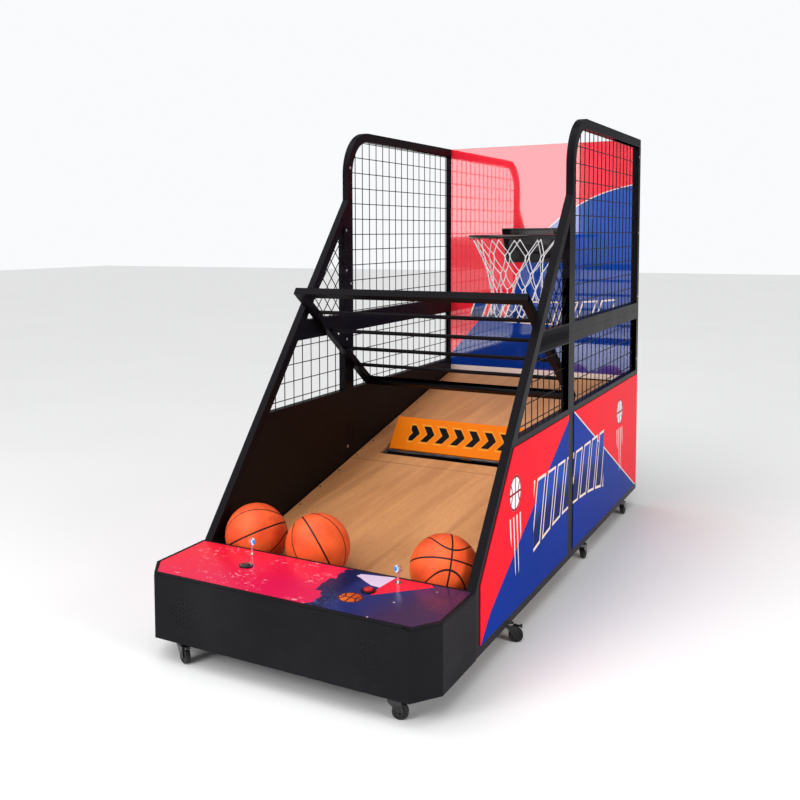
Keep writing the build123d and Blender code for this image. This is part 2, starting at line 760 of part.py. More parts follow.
def lid_hinge_fixed():
    """Leaf on the inside of the front wall, and the hinge pin."""
    leaf = block(-hinge_half, hinge_half, sheet_metal, sheet_metal + leaf_t, hinge_z - leaf_width, hinge_z)
    fixed = hinge_leaf(0, leaf) - crosswise(pin_r, hinge_y, hinge_z, -hinge_half, hinge_half)
    pin = crosswise(pin_r, hinge_y, hinge_z, -hinge_half, hinge_half)
    return [fixed, pin]


def lid_hinge_moving():
    """Leaf under the front edge of the lid."""
    wall_y = hinge_y + hinge_r
    leaf = block(-hinge_half, hinge_half, wall_y, wall_y + leaf_t, lid_bottom_z - leaf_t, hinge_z)
    leaf += block(-hinge_half, hinge_half, wall_y, wall_y + leaf_width, lid_bottom_z - leaf_t, lid_bottom_z)
    leaf += block(-hinge_half, hinge_half, hinge_y, wall_y + leaf_t, hinge_z - leaf_t, hinge_z)
    return [hinge_leaf(1, leaf) - crosswise(pin_r + run_gap, hinge_y, hinge_z, -hinge_half, hinge_half)]


def lock_barrels():
    """Barrels of the two cam locks."""
    barrels = []
    for x in (-lock_x, lock_x):
        barrel = upright(lock_barrel_r, x, lock_y, 275, lid_top_z)
        barrel += upright(lock_barrel_r + 2.5, x, lock_y, lid_top_z, lid_top_z + 2.5)
        barrels.append(barrel - upright(lock_plug_r + run_gap, x, lock_y, 270, lid_top_z + 5))
    return barrels


def lock_key(x, side):
    """Key in its plug, with the cam under the lid pointing to the given side."""
    plug = upright(lock_plug_r, x, lock_y, 272, lid_top_z + 3)
    cam = block(x, x + side * cam_length, lock_y - 6, lock_y + 6, 272, 274)
    blade = block(x - 3.5, x + 3.5, lock_y - 1, lock_y + 1, lid_top_z + 3, key_head_z - key_head_r + 3)
    head = fore_and_aft(key_head_r, x, key_head_z, lock_y - 2.5, lock_y + 2.5)
    head -= fore_and_aft(2.5, x, key_head_z + 8, lock_y - 3, lock_y + 3)
    key = blade + head
    return [plug + cam, key]


def button_bezels():
    """Bezels of the two push buttons, with the guide tubes below the lid."""
    bezels = []
    for x in (-button_x, button_x):
        bezel = upright(bezel_r, x, button_y, lid_top_z, lid_top_z + 5)
        bezel -= upright(cap_r + 0.4, x, button_y, lid_top_z + bezel_floor, lid_top_z + 6)
        bezel += upright(cap_r, x, button_y, lid_bottom_z - 24, lid_top_z)
        bezels.append(bezel - upright(stem_r + run_gap, x, button_y, lid_bottom_z - 30, lid_top_z + 6))
    return bezels


def button_cap(x):
    """Sprung button cap with its stem."""
    under = lid_top_z + bezel_floor + button_travel + 0.4
    cap = upright(cap_r, x, button_y, under, under + 5.5)
    cap = fillet(cap.edges().group_by(Axis.Z)[-1], 1.5)
    return [cap + upright(stem_r, x, button_y, lid_bottom_z - 18, under + 1)]


def speakers():
    """Two loudspeakers behind the grilles."""
    pair = []
    for x in (-speaker_x, speaker_x):
        wall = sheet_metal
        basket = fore_and_aft(speaker_r, x, speaker_z, wall, wall + 4)
        cone = Pos(x, wall + 4 + 13, speaker_z) * Rot(-90, 0, 0) * Cone(speaker_r - 6, 24, 26)
        magnet = fore_and_aft(30, x, speaker_z, wall + 30, wall + 46)
        pair.append(basket + cone + magnet)
    return pair


def control_board():
    """Main board on stand-offs, on the floor of the control box."""
    floor = ground_gap + sheet_metal
    board = block(110, 270, 190, 300, floor + 12, floor + 13.6)
    board += block(130, 165, 210, 245, floor + 13.6, floor + 22)
    board += block(190, 260, 270, 290, floor + 13.6, floor + 28)
    posts = [upright(4, x, y, floor, floor + 12) for x in (118, 262) for y in (198, 292)]
    return [board] + posts


def power_supply():
    """Switch-mode power supply on the rear sheet, inside the rear module."""
    back = length - sheet_t
    case = block(40, 240, back - 50, back, 170, 280)
    slots = Part()
    for step in range(8):
        x = 70 + step * 20
        slots += block(x, x + 8, back - 50, back - 46, 190, 260)
    return [case - slots]


def mains_inlet():
    """Appliance inlet in the rear sheet."""
    back = length - sheet_t
    body = block(inlet_x - inlet_w / 2, inlet_x + inlet_w / 2, back - 22, length, inlet_z - inlet_h / 2,
                 inlet_z + inlet_h / 2)
    body += block(inlet_x - 22, inlet_x + 22, back - 3, back, inlet_z - 32, inlet_z + 32)
    body -= block(inlet_x - 10, inlet_x + 10, length - 14, length, inlet_z - 2, inlet_z + 18)
    for x in (-6, 0, 6):
        body += block(inlet_x + x - 1, inlet_x + x + 1, length - 15, length - 4, inlet_z + 5, inlet_z + 11)
    return [body]


# ---------------------------------------------------------------- bolts and balls
def bolt_head(y, z):
    """Button-head bolt on the inner face of the right-hand frame."""
    return crosswise(6, y, z, frame_in - 3.5, frame_in)


def frame_bolts():
    """Heads of the bolts that hold the modules together, on the inner faces of the posts."""
    half = tube_d / 2
    heads = []
    for z in (240, 440, 930, 1240, 1420):
        heads.append(bolt_head(mid_post_y + half, z))
    for z in (240, 880, 1180, 1700):
        heads.append(bolt_head(split_y + half, z))
    for z in (760, 1080, 1400, 1780):
        heads.append(crosswise(6, rear_post_y + half - 8, z, frame_out, frame_out + 2.5))
    return heads + other_side(heads)


def ball(x):
    """Hollow rubber ball that rests on the ramp against the control box."""
    y = box_depth + ball_r + ball_gap
    z = ramp_z(y) + (ball_r + ball_gap) / math.cos(slope)
    return [Pos(x, y, z) * (Sphere(ball_r) - Sphere(ball_r - ball_wall))]


# ---------------------------------------------------------------- assembly
def machine():
    """All nodes of the machine, each a list of solids."""
    holes = stem_holes()
    right_front = [tube - holes for tube in front_frame()]
    right_rear = [tube - holes for tube in rear_frame()]
    right_tall = tall_frame()
    right_print = printed_panels()
    right_mesh = mesh_panels()
    nodes = {
        "control_box_shell": control_box_shell(),
        "control_box_lid": control_box_lid(),
        "lid_print": lid_print(),
        "lid_hinge_fixed": lid_hinge_fixed(),
        "lid_hinge_moving": lid_hinge_moving(),
        "lock_barrels": lock_barrels(),
        "key_left": lock_key(-lock_x, 1),
        "key_right": lock_key(lock_x, -1),
        "button_bezels": button_bezels(),
        "start_button_cap": button_cap(-button_x),
        "red_button_cap": button_cap(button_x),
        "speakers": speakers(),
        "control_board": control_board(),
        "power_supply": power_supply(),
        "mains_inlet": mains_inlet(),
        "front_frame_right": right_front,
        "front_frame_left": other_side(right_front),
        "rear_frame_right": right_rear,
        "rear_frame_left": other_side(right_rear),
        "tall_frame_right": right_tall,
        "tall_frame_left": other_side(right_tall),
        "cross_members": cross_members(),
        "printed_panels_right": right_print,
        "printed_panels_left": other_side(right_print),
        "inner_sheets": inner_sheets(),
        "mesh_right": right_mesh,
        "mesh_left": other_side(right_mesh),
        "front_ramp_board": front_ramp_board(),
        "rear_ramp_board": rear_ramp_board(),
        "gate_flap": gate_flap(),
        "gate_shaft": gate_shaft(),
        "gate_bearings": gate_bearings(),
        "gate_motor": gate_motor(),
        "backboard": backboard(),
        "hoop_rim": hoop_rim(),
        "rim_bracket": rim_bracket(),
        "net": net(),
        "hoop_sensor": hoop_sensor(),
        "guard_grille": guard_grille(),
        "frame_bolts": frame_bolts(),
    }
    nodes.update(casters())
    for name, x in ball_x.items():
        nodes[name] = ball(x)
    return nodes


def export(nodes):
    """Write one STEP file per node, with the origin at the machine's bottom centre."""
    os.makedirs("parts", exist_ok=True)
    shift = Pos(0, -length / 2, 0)
    for name, shapes in nodes.items():
        solids = solids_of(shapes)
        placed = [shift * solid for solid in solids]
        shape = placed[0] if len(placed) == 1 else Compound(children=placed)
        export_step(shape, os.path.join("parts", name + ".step"))


if __name__ == "__main__":
    export(machine())
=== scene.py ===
"""Looks of a street basketball hoop machine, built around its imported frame.

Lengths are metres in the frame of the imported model: X across the machine, Y from the player to the
backboard, Z up, with the origin on the floor under the middle of the machine.
"""
from __future__ import annotations

import json
import logging
import math
import random
from dataclasses import dataclass
from enum import Enum
from typing import Any, Iterable, Sequence

import bmesh
import bpy
from mathutils import Matrix, Vector

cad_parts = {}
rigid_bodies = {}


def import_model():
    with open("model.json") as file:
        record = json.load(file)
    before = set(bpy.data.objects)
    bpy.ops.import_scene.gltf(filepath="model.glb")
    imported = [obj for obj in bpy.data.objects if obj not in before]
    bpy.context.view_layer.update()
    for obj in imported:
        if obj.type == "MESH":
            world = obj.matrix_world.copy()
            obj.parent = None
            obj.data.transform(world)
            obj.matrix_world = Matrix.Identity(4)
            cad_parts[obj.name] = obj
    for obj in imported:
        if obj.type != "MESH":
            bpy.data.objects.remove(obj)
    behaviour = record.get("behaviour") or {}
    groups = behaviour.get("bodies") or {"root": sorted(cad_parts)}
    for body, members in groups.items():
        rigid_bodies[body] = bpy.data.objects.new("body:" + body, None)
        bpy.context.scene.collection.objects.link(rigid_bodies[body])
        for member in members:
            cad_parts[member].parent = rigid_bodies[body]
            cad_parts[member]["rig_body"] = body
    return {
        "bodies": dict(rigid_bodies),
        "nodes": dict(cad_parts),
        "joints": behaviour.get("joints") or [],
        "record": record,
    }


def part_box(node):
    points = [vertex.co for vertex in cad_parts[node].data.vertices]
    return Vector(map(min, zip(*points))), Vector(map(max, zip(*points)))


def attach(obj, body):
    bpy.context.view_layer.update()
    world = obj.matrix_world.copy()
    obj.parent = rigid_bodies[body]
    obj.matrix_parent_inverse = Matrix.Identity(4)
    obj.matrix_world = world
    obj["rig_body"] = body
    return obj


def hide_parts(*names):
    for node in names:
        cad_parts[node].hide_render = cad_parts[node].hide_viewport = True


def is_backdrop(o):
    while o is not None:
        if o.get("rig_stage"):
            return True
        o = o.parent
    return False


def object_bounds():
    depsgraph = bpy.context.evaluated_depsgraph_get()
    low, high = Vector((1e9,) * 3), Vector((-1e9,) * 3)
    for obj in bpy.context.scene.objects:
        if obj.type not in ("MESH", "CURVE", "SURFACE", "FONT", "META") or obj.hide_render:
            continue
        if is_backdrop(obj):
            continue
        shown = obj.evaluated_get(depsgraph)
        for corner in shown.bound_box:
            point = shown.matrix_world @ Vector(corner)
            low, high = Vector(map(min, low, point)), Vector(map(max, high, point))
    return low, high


log = logging.getLogger("hoop_machine")

Colour = tuple[float, float, float]
Point = tuple[float, float, float]
Flat = tuple[float, float]

HALF_LENGTH = 1.315         # half of the machine's length: front face to the origin


class Side(Enum):
    """The two sides of the machine, by the sign of X."""

    LEFT = -1
    RIGHT = 1


def from_front(distance: float) -> float:
    """The frame's Y for a distance counted from the front face."""
    return distance - HALF_LENGTH


# ---------------------------------------------------------------- materials
class Value:
    """A number socket of a material, on which arithmetic adds Math nodes."""

    def __init__(self, paint: "Paint", socket: bpy.types.NodeSocket) -> None:
        """Wrap a socket of a paint's tree."""
        self.paint = paint
        self.socket = socket

    def __add__(self, other: "Number") -> "Value":
        """Sum."""
        return self.paint.math("ADD", self, other)

    def __sub__(self, other: "Number") -> "Value":
        """Difference."""
        return self.paint.math("SUBTRACT", self, other)

    def __rsub__(self, other: "Number") -> "Value":
        """Difference, from a number."""
        return self.paint.math("SUBTRACT", other, self)

    def __mul__(self, other: "Number") -> "Value":
        """Product."""
        return self.paint.math("MULTIPLY", self, other)

    def __truediv__(self, other: "Number") -> "Value":
        """Quotient."""
        return self.paint.math("DIVIDE", self, other)

    __radd__ = __add__
    __rmul__ = __mul__

    def __neg__(self) -> "Value":
        """Opposite."""
        return self.paint.math("MULTIPLY", self, -1.0)

    def size(self) -> "Value":
        """Absolute value."""
        return self.paint.math("ABSOLUTE", self)

    def fraction(self) -> "Value":
        """Part after the whole number below."""
        return self.paint.math("FRACT", self)

    def root(self) -> "Value":
        """Square root."""
        return self.paint.math("SQRT", self)

    def least(self, other: "Number") -> "Value":
        """The smaller of the two."""
        return self.paint.math("MINIMUM", self, other)

    def most(self, other: "Number") -> "Value":
        """The larger of the two."""
        return self.paint.math("MAXIMUM", self, other)

    def rise(self, low: float, high: float) -> "Value":
        """Smooth step from 0 at low to 1 at high; high may be below low."""
        settings = {"interpolation_type": "SMOOTHSTEP", "clamp": True}
        made = self.paint.node("ShaderNodeMapRange", settings, {0: self, 1: low, 2: high, 3: 0.0, 4: 1.0})
        return Value(self.paint, made.outputs[0])


Number = Value | float


class Paint:
    """A material under construction."""

    def __init__(self, name: str) -> None:
        """Start an empty node tree."""
        self.material = bpy.data.materials.new(name)
        self.material.use_nodes = True
        self.tree = self.material.node_tree
        self.tree.nodes.clear()
        self._place: bpy.types.NodeSocket | None = None

    def node(self, kind: str, settings: dict[str, Any] | None = None,
             sockets: dict[Any, Any] | None = None) -> bpy.types.Node:
        """Add a node.

        Args:
            kind: the node's type.
            settings: its properties, set first.
            sockets: a value or a link for each input, by name or number.

        Returns:
            The new node.
        """
        made = self.tree.nodes.new(kind)
        for key, value in (settings or {}).items():
            setattr(made, key, value)
        for key, value in (sockets or {}).items():
            self._feed(made.inputs[key], value)
        return made

    def _feed(self, target: bpy.types.NodeSocket, value: Any) -> None:
        """Link a socket or set its own value."""
        if isinstance(value, Value):
            self.tree.links.new(value.socket, target)
        elif isinstance(value, bpy.types.NodeSocket):
            self.tree.links.new(value, target)
        elif isinstance(value, tuple) and target.type == "RGBA":
            target.default_value = (*value, 1.0)
        else:
            target.default_value = value

    def math(self, operation: str, *numbers: Number) -> Value:
        """A Math node on sockets and numbers."""
        made = self.node("ShaderNodeMath", {"operation": operation}, dict(enumerate(numbers)))
        return Value(self, made.outputs[0])

    @property
    def place(self) -> bpy.types.NodeSocket:
        """Object coordinates."""
        if self._place is None:
            self._place = self.node("ShaderNodeTexCoord").outputs["Object"]
        return self._place

    def moved(self, centre: Point, turn: Point = (0.0, 0.0, 0.0), scale: Point = (1.0, 1.0, 1.0)
              ) -> bpy.types.NodeSocket:
        """Object coordinates seen from a centre, turned and scaled."""
        shifted = self.node("ShaderNodeVectorMath", {"operation": "SUBTRACT"}, {0: self.place, 1: centre})
        mapping = self.node("ShaderNodeMapping", {"vector_type": "POINT"},
                            {0: shifted.outputs[0], "Rotation": turn, "Scale": scale})
        return mapping.outputs[0]

    def axes(self, vector: bpy.types.NodeSocket | None = None) -> tuple[Value, Value, Value]:
        """The three numbers of a vector, by default of the object coordinates."""
        parts = self.node("ShaderNodeSeparateXYZ", None, {0: vector or self.place}).outputs
        return Value(self, parts[0]), Value(self, parts[1]), Value(self, parts[2])

    def noise(self, scale: float, detail: float = 3.0, stretch: Point = (1.0, 1.0, 1.0),
              distortion: float = 0.0, vector: bpy.types.NodeSocket | None = None) -> Value:
        """Noise between 0 and 1."""
        where = vector or self.place
        if stretch != (1.0, 1.0, 1.0):
            where = self.node("ShaderNodeMapping", None, {0: where, "Scale": stretch}).outputs[0]
        made = self.node("ShaderNodeTexNoise", None, {
            "Vector": where, "Scale": scale, "Detail": detail, "Distortion": distortion})
        return Value(self, made.outputs[0])

    def cells(self, scale: float) -> Value:
        """Distance to the nearest point of a Voronoi pattern."""
        made = self.node("ShaderNodeTexVoronoi", None, {"Vector": self.place, "Scale": scale})
        return Value(self, made.outputs["Distance"])

    def mix(self, factor: Number, first: Any, second: Any) -> bpy.types.NodeSocket:
        """Colour between two colours."""
        made = self.node("ShaderNodeMix", {"data_type": "RGBA"}, {0: factor, 6: first, 7: second})
        return made.outputs[2]

    def bump(self, height: Value, strength: float, distance: float) -> bpy.types.NodeSocket:
        """Normal of a height pattern."""
        sockets = {"Height": height, "Strength": strength, "Distance": distance}
        return self.node("ShaderNodeBump", None, sockets).outputs[0]

    def region(self, u: Value, v: Value, corners: Sequence[Flat]) -> Value:
        """Signed distance inside a convex outline whose corners run anticlockwise; positive inside."""
        inside: Value | None = None
        for (u0, v0), (u1, v1) in zip(corners, [*corners[1:], corners[0]]):
            run = math.hypot(u1 - u0, v1 - v0)
            across = ((v0 - v1) / run, (u1 - u0) / run)
            distance = u * across[0] + v * across[1] - (u0 * across[0] + v0 * across[1])
            inside = distance if inside is None else inside.least(distance)
        return inside

    def surface(self, **sockets: Any) -> bpy.types.Material:
        """Close the material with its shader.

        Args:
            sockets: inputs of the shader by name, with _ for a space.

        Returns:
            The finished material.
        """
        named = {key.replace("_", " "): value for key, value in sockets.items()}
        shader = self.node("ShaderNodeBsdfPrincipled", None, named)
        self.node("ShaderNodeOutputMaterial", None, {0: shader.outputs[0]})
        return self.material


SHARP = 0.0006              # softness of a printed edge
WAIST = 0.29                # a ball's looped seams: nearest to the middle seam, over the radius
SPREAD = 1.05               # and how they part from it


@dataclass(frozen=True)
class PowderCoat:
    """Black powder coat with fine orange peel, a little dust and scuffed patches."""

    name: str = "powder_coat"
    colour: Colour = (0.0048, 0.0040, 0.0056)
    dust: Colour = (0.014, 0.012, 0.016)
    roughness: float = 0.32

    def make(self) -> bpy.types.Material:
        """Build the material."""
        paint = Paint(self.name)
        cloud = paint.noise(7.0, 5.0)
        peel = paint.noise(420.0, 2.0)
        speck = paint.noise(900.0, 1.0).rise(0.70, 0.80)
        base = paint.mix(cloud.rise(0.45, 0.85) * 0.5 + speck * 0.25, self.colour, self.dust)
        rough = self.roughness + (cloud - 0.5) * 0.16
        normal = paint.bump(peel, 0.25, 0.0006)
        return paint.surface(Base_Color=base, Roughness=rough, Normal=normal, Specular_IOR_Level=0.05)


@dataclass(frozen=True)
class GlossPaint:
    """Smooth gloss paint or moulding, with faint waviness and fine scratches."""

    name: str
    colour: Colour
    roughness: float = 0.16
    coat: float = 0.6

    def make(self) -> bpy.types.Material:
        """Build the material."""
        paint = Paint(self.name)
        darker = tuple(0.72 * part for part in self.colour)
        cloud = paint.noise(24.0, 4.0)
        scratch = paint.noise(160.0, 2.0, (1.0, 0.08, 1.0)).rise(0.66, 0.74)
        base = paint.mix(cloud, darker, self.colour)
        rough = self.roughness + cloud * 0.06 + scratch * 0.12
        normal = paint.bump(paint.noise(130.0, 2.0) + scratch * 0.4, 0.06, 0.0005)
        return paint.surface(Base_Color=base, Roughness=rough, Normal=normal, Coat_Weight=self.coat,
                             Coat_Roughness=0.08)


@dataclass(frozen=True)
class Metal:
    """Bare or plated metal with fine brushing and dull spots."""

    name: str
    colour: Colour
    roughness: float = 0.3
    grain: float = 1.0

    def make(self) -> bpy.types.Material:
        """Build the material."""
        paint = Paint(self.name)
        duller = tuple(0.6 * part for part in self.colour)
        brush = paint.noise(500.0, 3.0, (1.0, 0.06, 1.0))
        spots = paint.noise(60.0, 4.0)
        base = paint.mix(spots.rise(0.35, 0.8), self.colour, duller)
        rough = self.roughness + brush * 0.14 * self.grain + spots * 0.1
        normal = paint.bump(brush, 0.12 * self.grain, 0.0003)
        return paint.surface(Base_Color=base, Roughness=rough, Metallic=1.0, Normal=normal)


@dataclass(frozen=True)
class Plastic:
    """Moulded plastic or rubber with a fine spark-eroded texture."""

    name: str
    colour: Colour
    roughness: float = 0.5
    texture: float = 0.3
    gloss: float = 0.3

    def make(self) -> bpy.types.Material:
        """Build the material."""
        paint = Paint(self.name)
        lighter = tuple(min(1.0, 1.6 * part + 0.003) for part in self.colour)
        cloud = paint.noise(35.0, 5.0)
        base = paint.mix(cloud.rise(0.4, 0.9) * 0.6, self.colour, lighter)
        grain = paint.noise(1400.0, 1.0)
        normal = paint.bump(grain, self.texture, 0.0003)
        rough = self.roughness + (cloud - 0.5) * 0.15
        return paint.surface(Base_Color=base, Roughness=rough, Normal=normal, Specular_IOR_Level=self.gloss)


@dataclass(frozen=True)
class BoxPaint:
    """Charcoal satin paint of the control box, with rub marks and fingerprints."""

    name: str = "box_charcoal"
    colour: Colour = (0.0100, 0.0096, 0.0115)
    rubbed: Colour = (0.018, 0.0175, 0.020)

    def make(self) -> bpy.types.Material:
        """Build the material."""
        paint = Paint(self.name)
        _, _, z = paint.axes()
        cloud = paint.noise(3.2, 5.0)
        smear = paint.noise(14.0, 4.0, (1.0, 1.0, 2.5), 0.8)
        peel = paint.noise(520.0, 2.0)
        hem = z.rise(0.16, 0.085) * paint.noise(22.0, 5.0).rise(0.45, 0.8)
        base = paint.mix(cloud.rise(0.4, 0.75) * 0.55 + smear.rise(0.62, 0.7) * 0.2 + hem * 0.35,
                         self.colour, self.rubbed)
        rough = 0.44 + (smear - 0.5) * 0.16 + hem * 0.12
        return paint.surface(Base_Color=base, Roughness=rough, Normal=paint.bump(peel, 0.22, 0.0005),
                             Specular_IOR_Level=0.04)


class Print:
    """Shared parts of the printed acrylic finishes."""

    paint: Paint

    def bars(self, u: Value, v: Value, pitch: float, lean: float, half_height: float,
             edge: float) -> tuple[Value, Value]:
        """A band of leaning bars around v = 0.

        Args:
            u: along the band.
            v: across the band.
            pitch: bar to bar.
            lean: how far a bar leans per unit of height.
            half_height: half the height of the band.
            edge: width of a bar's outline.

        Returns:
            Mask of the whole bars, and mask of their cores inside the outline.
        """
        cell = ((u - v * lean) / pitch).fraction() - 0.5
        beside = (0.40 - cell.size()) * pitch
        distance = beside.least(half_height - v.size())
        return distance.rise(-SHARP, SHARP), (distance - edge).rise(-SHARP, SHARP)

    def ball(self, u: Value, v: Value, radius: float, line: float) -> tuple[Value, Value]:
        """A round ball sign: its disc and its seam lines.

        Args:
            u: sideways from its centre.
            v: upwards from its centre.
            radius: of the disc.
            line: width of a seam.

        Returns:
            Mask of the disc, and mask of the lines on it.
        """
        away = (u * u + v * v).root()
        disc = (radius - away).rise(-SHARP, SHARP)
        upright = u.size().least(v.size())
        bowed = ((u.size() - radius * 1.25) * (u.size() - radius * 1.25) + v * v).root() - radius * 0.75
        rim = (radius - line * 0.5 - away).size()
        seam = upright.least(bowed.size()).least(rim)
        return disc, (line * 0.5 - seam).rise(-SHARP, SHARP) * disc


@dataclass
class SidePrint(Print):
    """Red acrylic with a blue mountain across both modules and plain sporting signs."""

    name: str = "side_print"
    red: Colour = (1.0, 0.010, 0.028)
    blue: Colour = (0.0, 0.034, 0.34)
    cream: Colour = (0.95, 0.74, 0.62)
    navy: Colour = (0.004, 0.016, 0.12)
    white: Colour = (0.85, 0.82, 0.84)
    apex: Flat = (1.439, 0.678)
    front_slope: float = 0.530
    foot_slope: float = 0.876
    rear_slope: float = -0.4945
    foot: Flat = (0.480, 0.190)
    line: float = 0.0035
    band_middle: Flat = (1.425, 0.405)
    band_half: float = 0.507
    bar_pitch: float = 0.128
    bar_lean: float = 0.35
    bar_edge: float = 0.009
    signs: tuple[Flat, ...] = ((0.715, 0.520), (2.235, 0.545))
    sign_radius: float = 0.062
    seam: float = 0.008
    tail_length: float = 0.27
    tail_lean: float = -0.12
    streak_pitch: float = 0.034

    def make(self) -> bpy.types.Material:
        """Build the material."""
        self.paint = paint = Paint(self.name)
        _, y, z = paint.axes()
        y = y + HALF_LENGTH
        front = (y - self.foot[0]) * self.front_slope + self.foot[1] - z
        foot = (y - self.foot[0]) * self.foot_slope + self.foot[1] - z
        rear = (y - self.apex[0]) * self.rear_slope + self.apex[1] - z
        hill = front.least(foot).least(rear).rise(-SHARP, SHARP)
        edge = (self.line - rear.size()).rise(-SHARP, SHARP) * (y - self.apex[0]).rise(0.0, 0.002)
        cloud = paint.noise(2.4, 3.0)
        dots = paint.noise(1100.0, 1.0)
        red = paint.mix(cloud, self.red, tuple(0.86 * part for part in self.red))
        blue = paint.mix(cloud, self.blue, tuple(0.7 * part for part in self.blue))
        base = paint.mix(hill, red, blue)
        base = paint.mix(edge * 0.85, base, self.white)
        base = self._band(base, y, z)
        for centre in self.signs:
            base = self._dropping_ball(base, y - centre[0], z - centre[1])
        normal = paint.bump(paint.noise(3.0, 2.0) + dots * 0.004, 0.10, 0.01)
        return paint.surface(Base_Color=base, Roughness=0.13 + cloud * 0.05, Normal=normal,
                             Specular_IOR_Level=0.008)

    def _band(self, base: Any, y: Value, z: Value) -> bpy.types.NodeSocket:
        """The row of outlined leaning bars in the middle of the print."""
        paint = self.paint
        along = y - self.band_middle[0]
        arch = self.band_middle[1] - along * along * 0.08
        swell = 0.105 + along * along * 0.10
        across = z - arch
        cell_v = across / swell
        whole, core = self.bars(along, cell_v * 0.1, self.bar_pitch, self.bar_lean, 0.1, self.bar_edge)
        ends = (self.band_half - along.size()).rise(-SHARP, SHARP)
        sheen = (cell_v + paint.noise(5.0, 2.0)).rise(0.1, 0.9)
        inner = paint.mix(sheen, self.navy, (0.01, 0.07, 0.42))
        base = paint.mix(whole * ends, base, self.cream)
        return paint.mix(core * ends, base, inner)

    def _dropping_ball(self, base: Any, u: Value, v: Value) -> bpy.types.NodeSocket:
        """A white ball sign around u = v = 0, with a tail of streaks below it."""
        paint = self.paint
        disc, lines = self.ball(u, v, self.sign_radius, self.seam)
        below = v + self.sign_radius * 1.25
        side = u - below * self.tail_lean
        cell = (side / self.streak_pitch).fraction() - 0.5
        taper = (below + self.tail_length) * 0.62
        streak = (0.20 + below * 0.5 - cell.size()).rise(0.0, 0.04)
        tail = streak * (taper - side.size() * 2.2).rise(0.0, 0.004) * (-below).rise(0.0, 0.002)
        base = paint.mix(tail * 0.9, base, self.white)
        base = paint.mix(disc, base, self.white)
        return paint.mix(lines, base, (0.30, 0.008, 0.02))


@dataclass
class LidPrint(Print):
    """Printed lid: pink-red with pale flecks on the left, navy to violet on the right."""

    name: str = "lid_print_gloss"
    red: Colour = (0.84, 0.012, 0.036)
    pink: Colour = (0.70, 0.008, 0.075)
    navy: Colour = (0.008, 0.009, 0.060)
    royal: Colour = (0.018, 0.022, 0.130)
    violet: Colour = (0.050, 0.016, 0.060)
    lilac: Colour = (0.56, 0.42, 0.66)
    fleck: Colour = (0.90, 0.42, 0.50)
    orange: Colour = (0.72, 0.15, 0.02)
    border: float = 0.105
    bulge: tuple[Flat, ...] = ((0.075, 0.130), (0.20, 0.130), (0.20, 0.260), (0.072, 0.240))
    shirt: tuple[Flat, ...] = ((0.215, 0.246), (0.255, 0.240), (0.262, 0.345), (0.140, 0.318), (0.135, 0.300))
    wedge: tuple[Flat, ...] = ((0.250, 0.172), (0.395, 0.322), (0.380, 0.340), (0.255, 0.340), (0.246, 0.235))
    sign: Flat = (0.205, 0.128)
    sign_radius: float = 0.040
    seam: float = 0.005

    def make(self) -> bpy.types.Material:
        """Build the material."""
        self.paint = paint = Paint(self.name)
        x, y, _ = paint.axes()
        y = y + HALF_LENGTH
        wander = (paint.noise(16.0, 4.0) - 0.5) * 0.10
        cloud = paint.noise(5.0, 4.0)
        blush = ((x + 0.32) * 1.6 - (y - 0.18) * 2.2 + cloud * 0.8).rise(-0.2, 1.2)
        field = paint.mix(blush, self.red, self.pink)
        fleck = paint.noise(52.0, 6.0, (1.0, 1.7, 1.0), 1.2)
        patch = paint.noise(7.0, 2.0).rise(0.48, 0.62)
        base = paint.mix((fleck.rise(0.60, 0.66) * patch) * 0.75, field, self.fleck)
        border = x - (self.border - (y - 0.18) * 0.05) + wander * 1.3
        bulge = paint.region(x + wander * 0.4, y, self.bulge)
        dark = border.most(bulge).rise(-SHARP, SHARP)
        night = paint.mix((x - 0.17 + cloud * 0.06).rise(0.0, 0.05), self.navy, self.royal)
        night = paint.mix((x + cloud * 0.10 - y * 0.30).rise(0.26, 0.44), night, self.violet)
        mottle = paint.noise(90.0, 5.0, (1.0, 1.0, 1.0), 0.6).rise(0.52, 0.66)
        corner = (x - 0.10).rise(0.16, 0.0) * (y - 0.10).rise(0.06, 0.02)
        night = paint.mix(mottle * 0.7 * corner, night, (0.02, 0.10, 0.34))
        base = paint.mix(dark, base, night)
        rag = (paint.noise(40.0, 3.0) - 0.5) * 0.012
        shirt = paint.region(x + rag, y, self.shirt)
        base = paint.mix(shirt.rise(-SHARP, SHARP), base, paint.mix(cloud, self.lilac, (0.80, 0.62, 0.74)))
        wedge = paint.region(x, y, self.wedge)
        base = paint.mix(wedge.rise(-SHARP, SHARP), base, self.red)
        disc, lines = self.ball(x - self.sign[0], y - self.sign[1], self.sign_radius, self.seam)
        shade = paint.mix((x + y - 0.33).rise(-0.05, 0.05), self.orange, (0.50, 0.06, 0.012))
        base = paint.mix(disc, base, shade)
        base = paint.mix(lines, base, (0.05, 0.01, 0.02))
        specks = paint.cells(17.0).rise(0.075, 0.055) * (x - 0.2).rise(0.0, 0.05)
        specks = specks * paint.noise(9.0, 1.0).rise(0.5, 0.55)
        base = paint.mix(specks * 0.8, base, (0.80, 0.66, 0.62))
        scuff = paint.noise(220.0, 2.0, (0.06, 1.0, 1.0)).rise(0.64, 0.72)
        rough = 0.16 + scuff * 0.18 + cloud * 0.08
        normal = paint.bump(paint.noise(9.0, 2.0) + scuff * 0.01, 0.08, 0.004)
        return paint.surface(Base_Color=base, Roughness=rough, Normal=normal, Specular_IOR_Level=0.25)


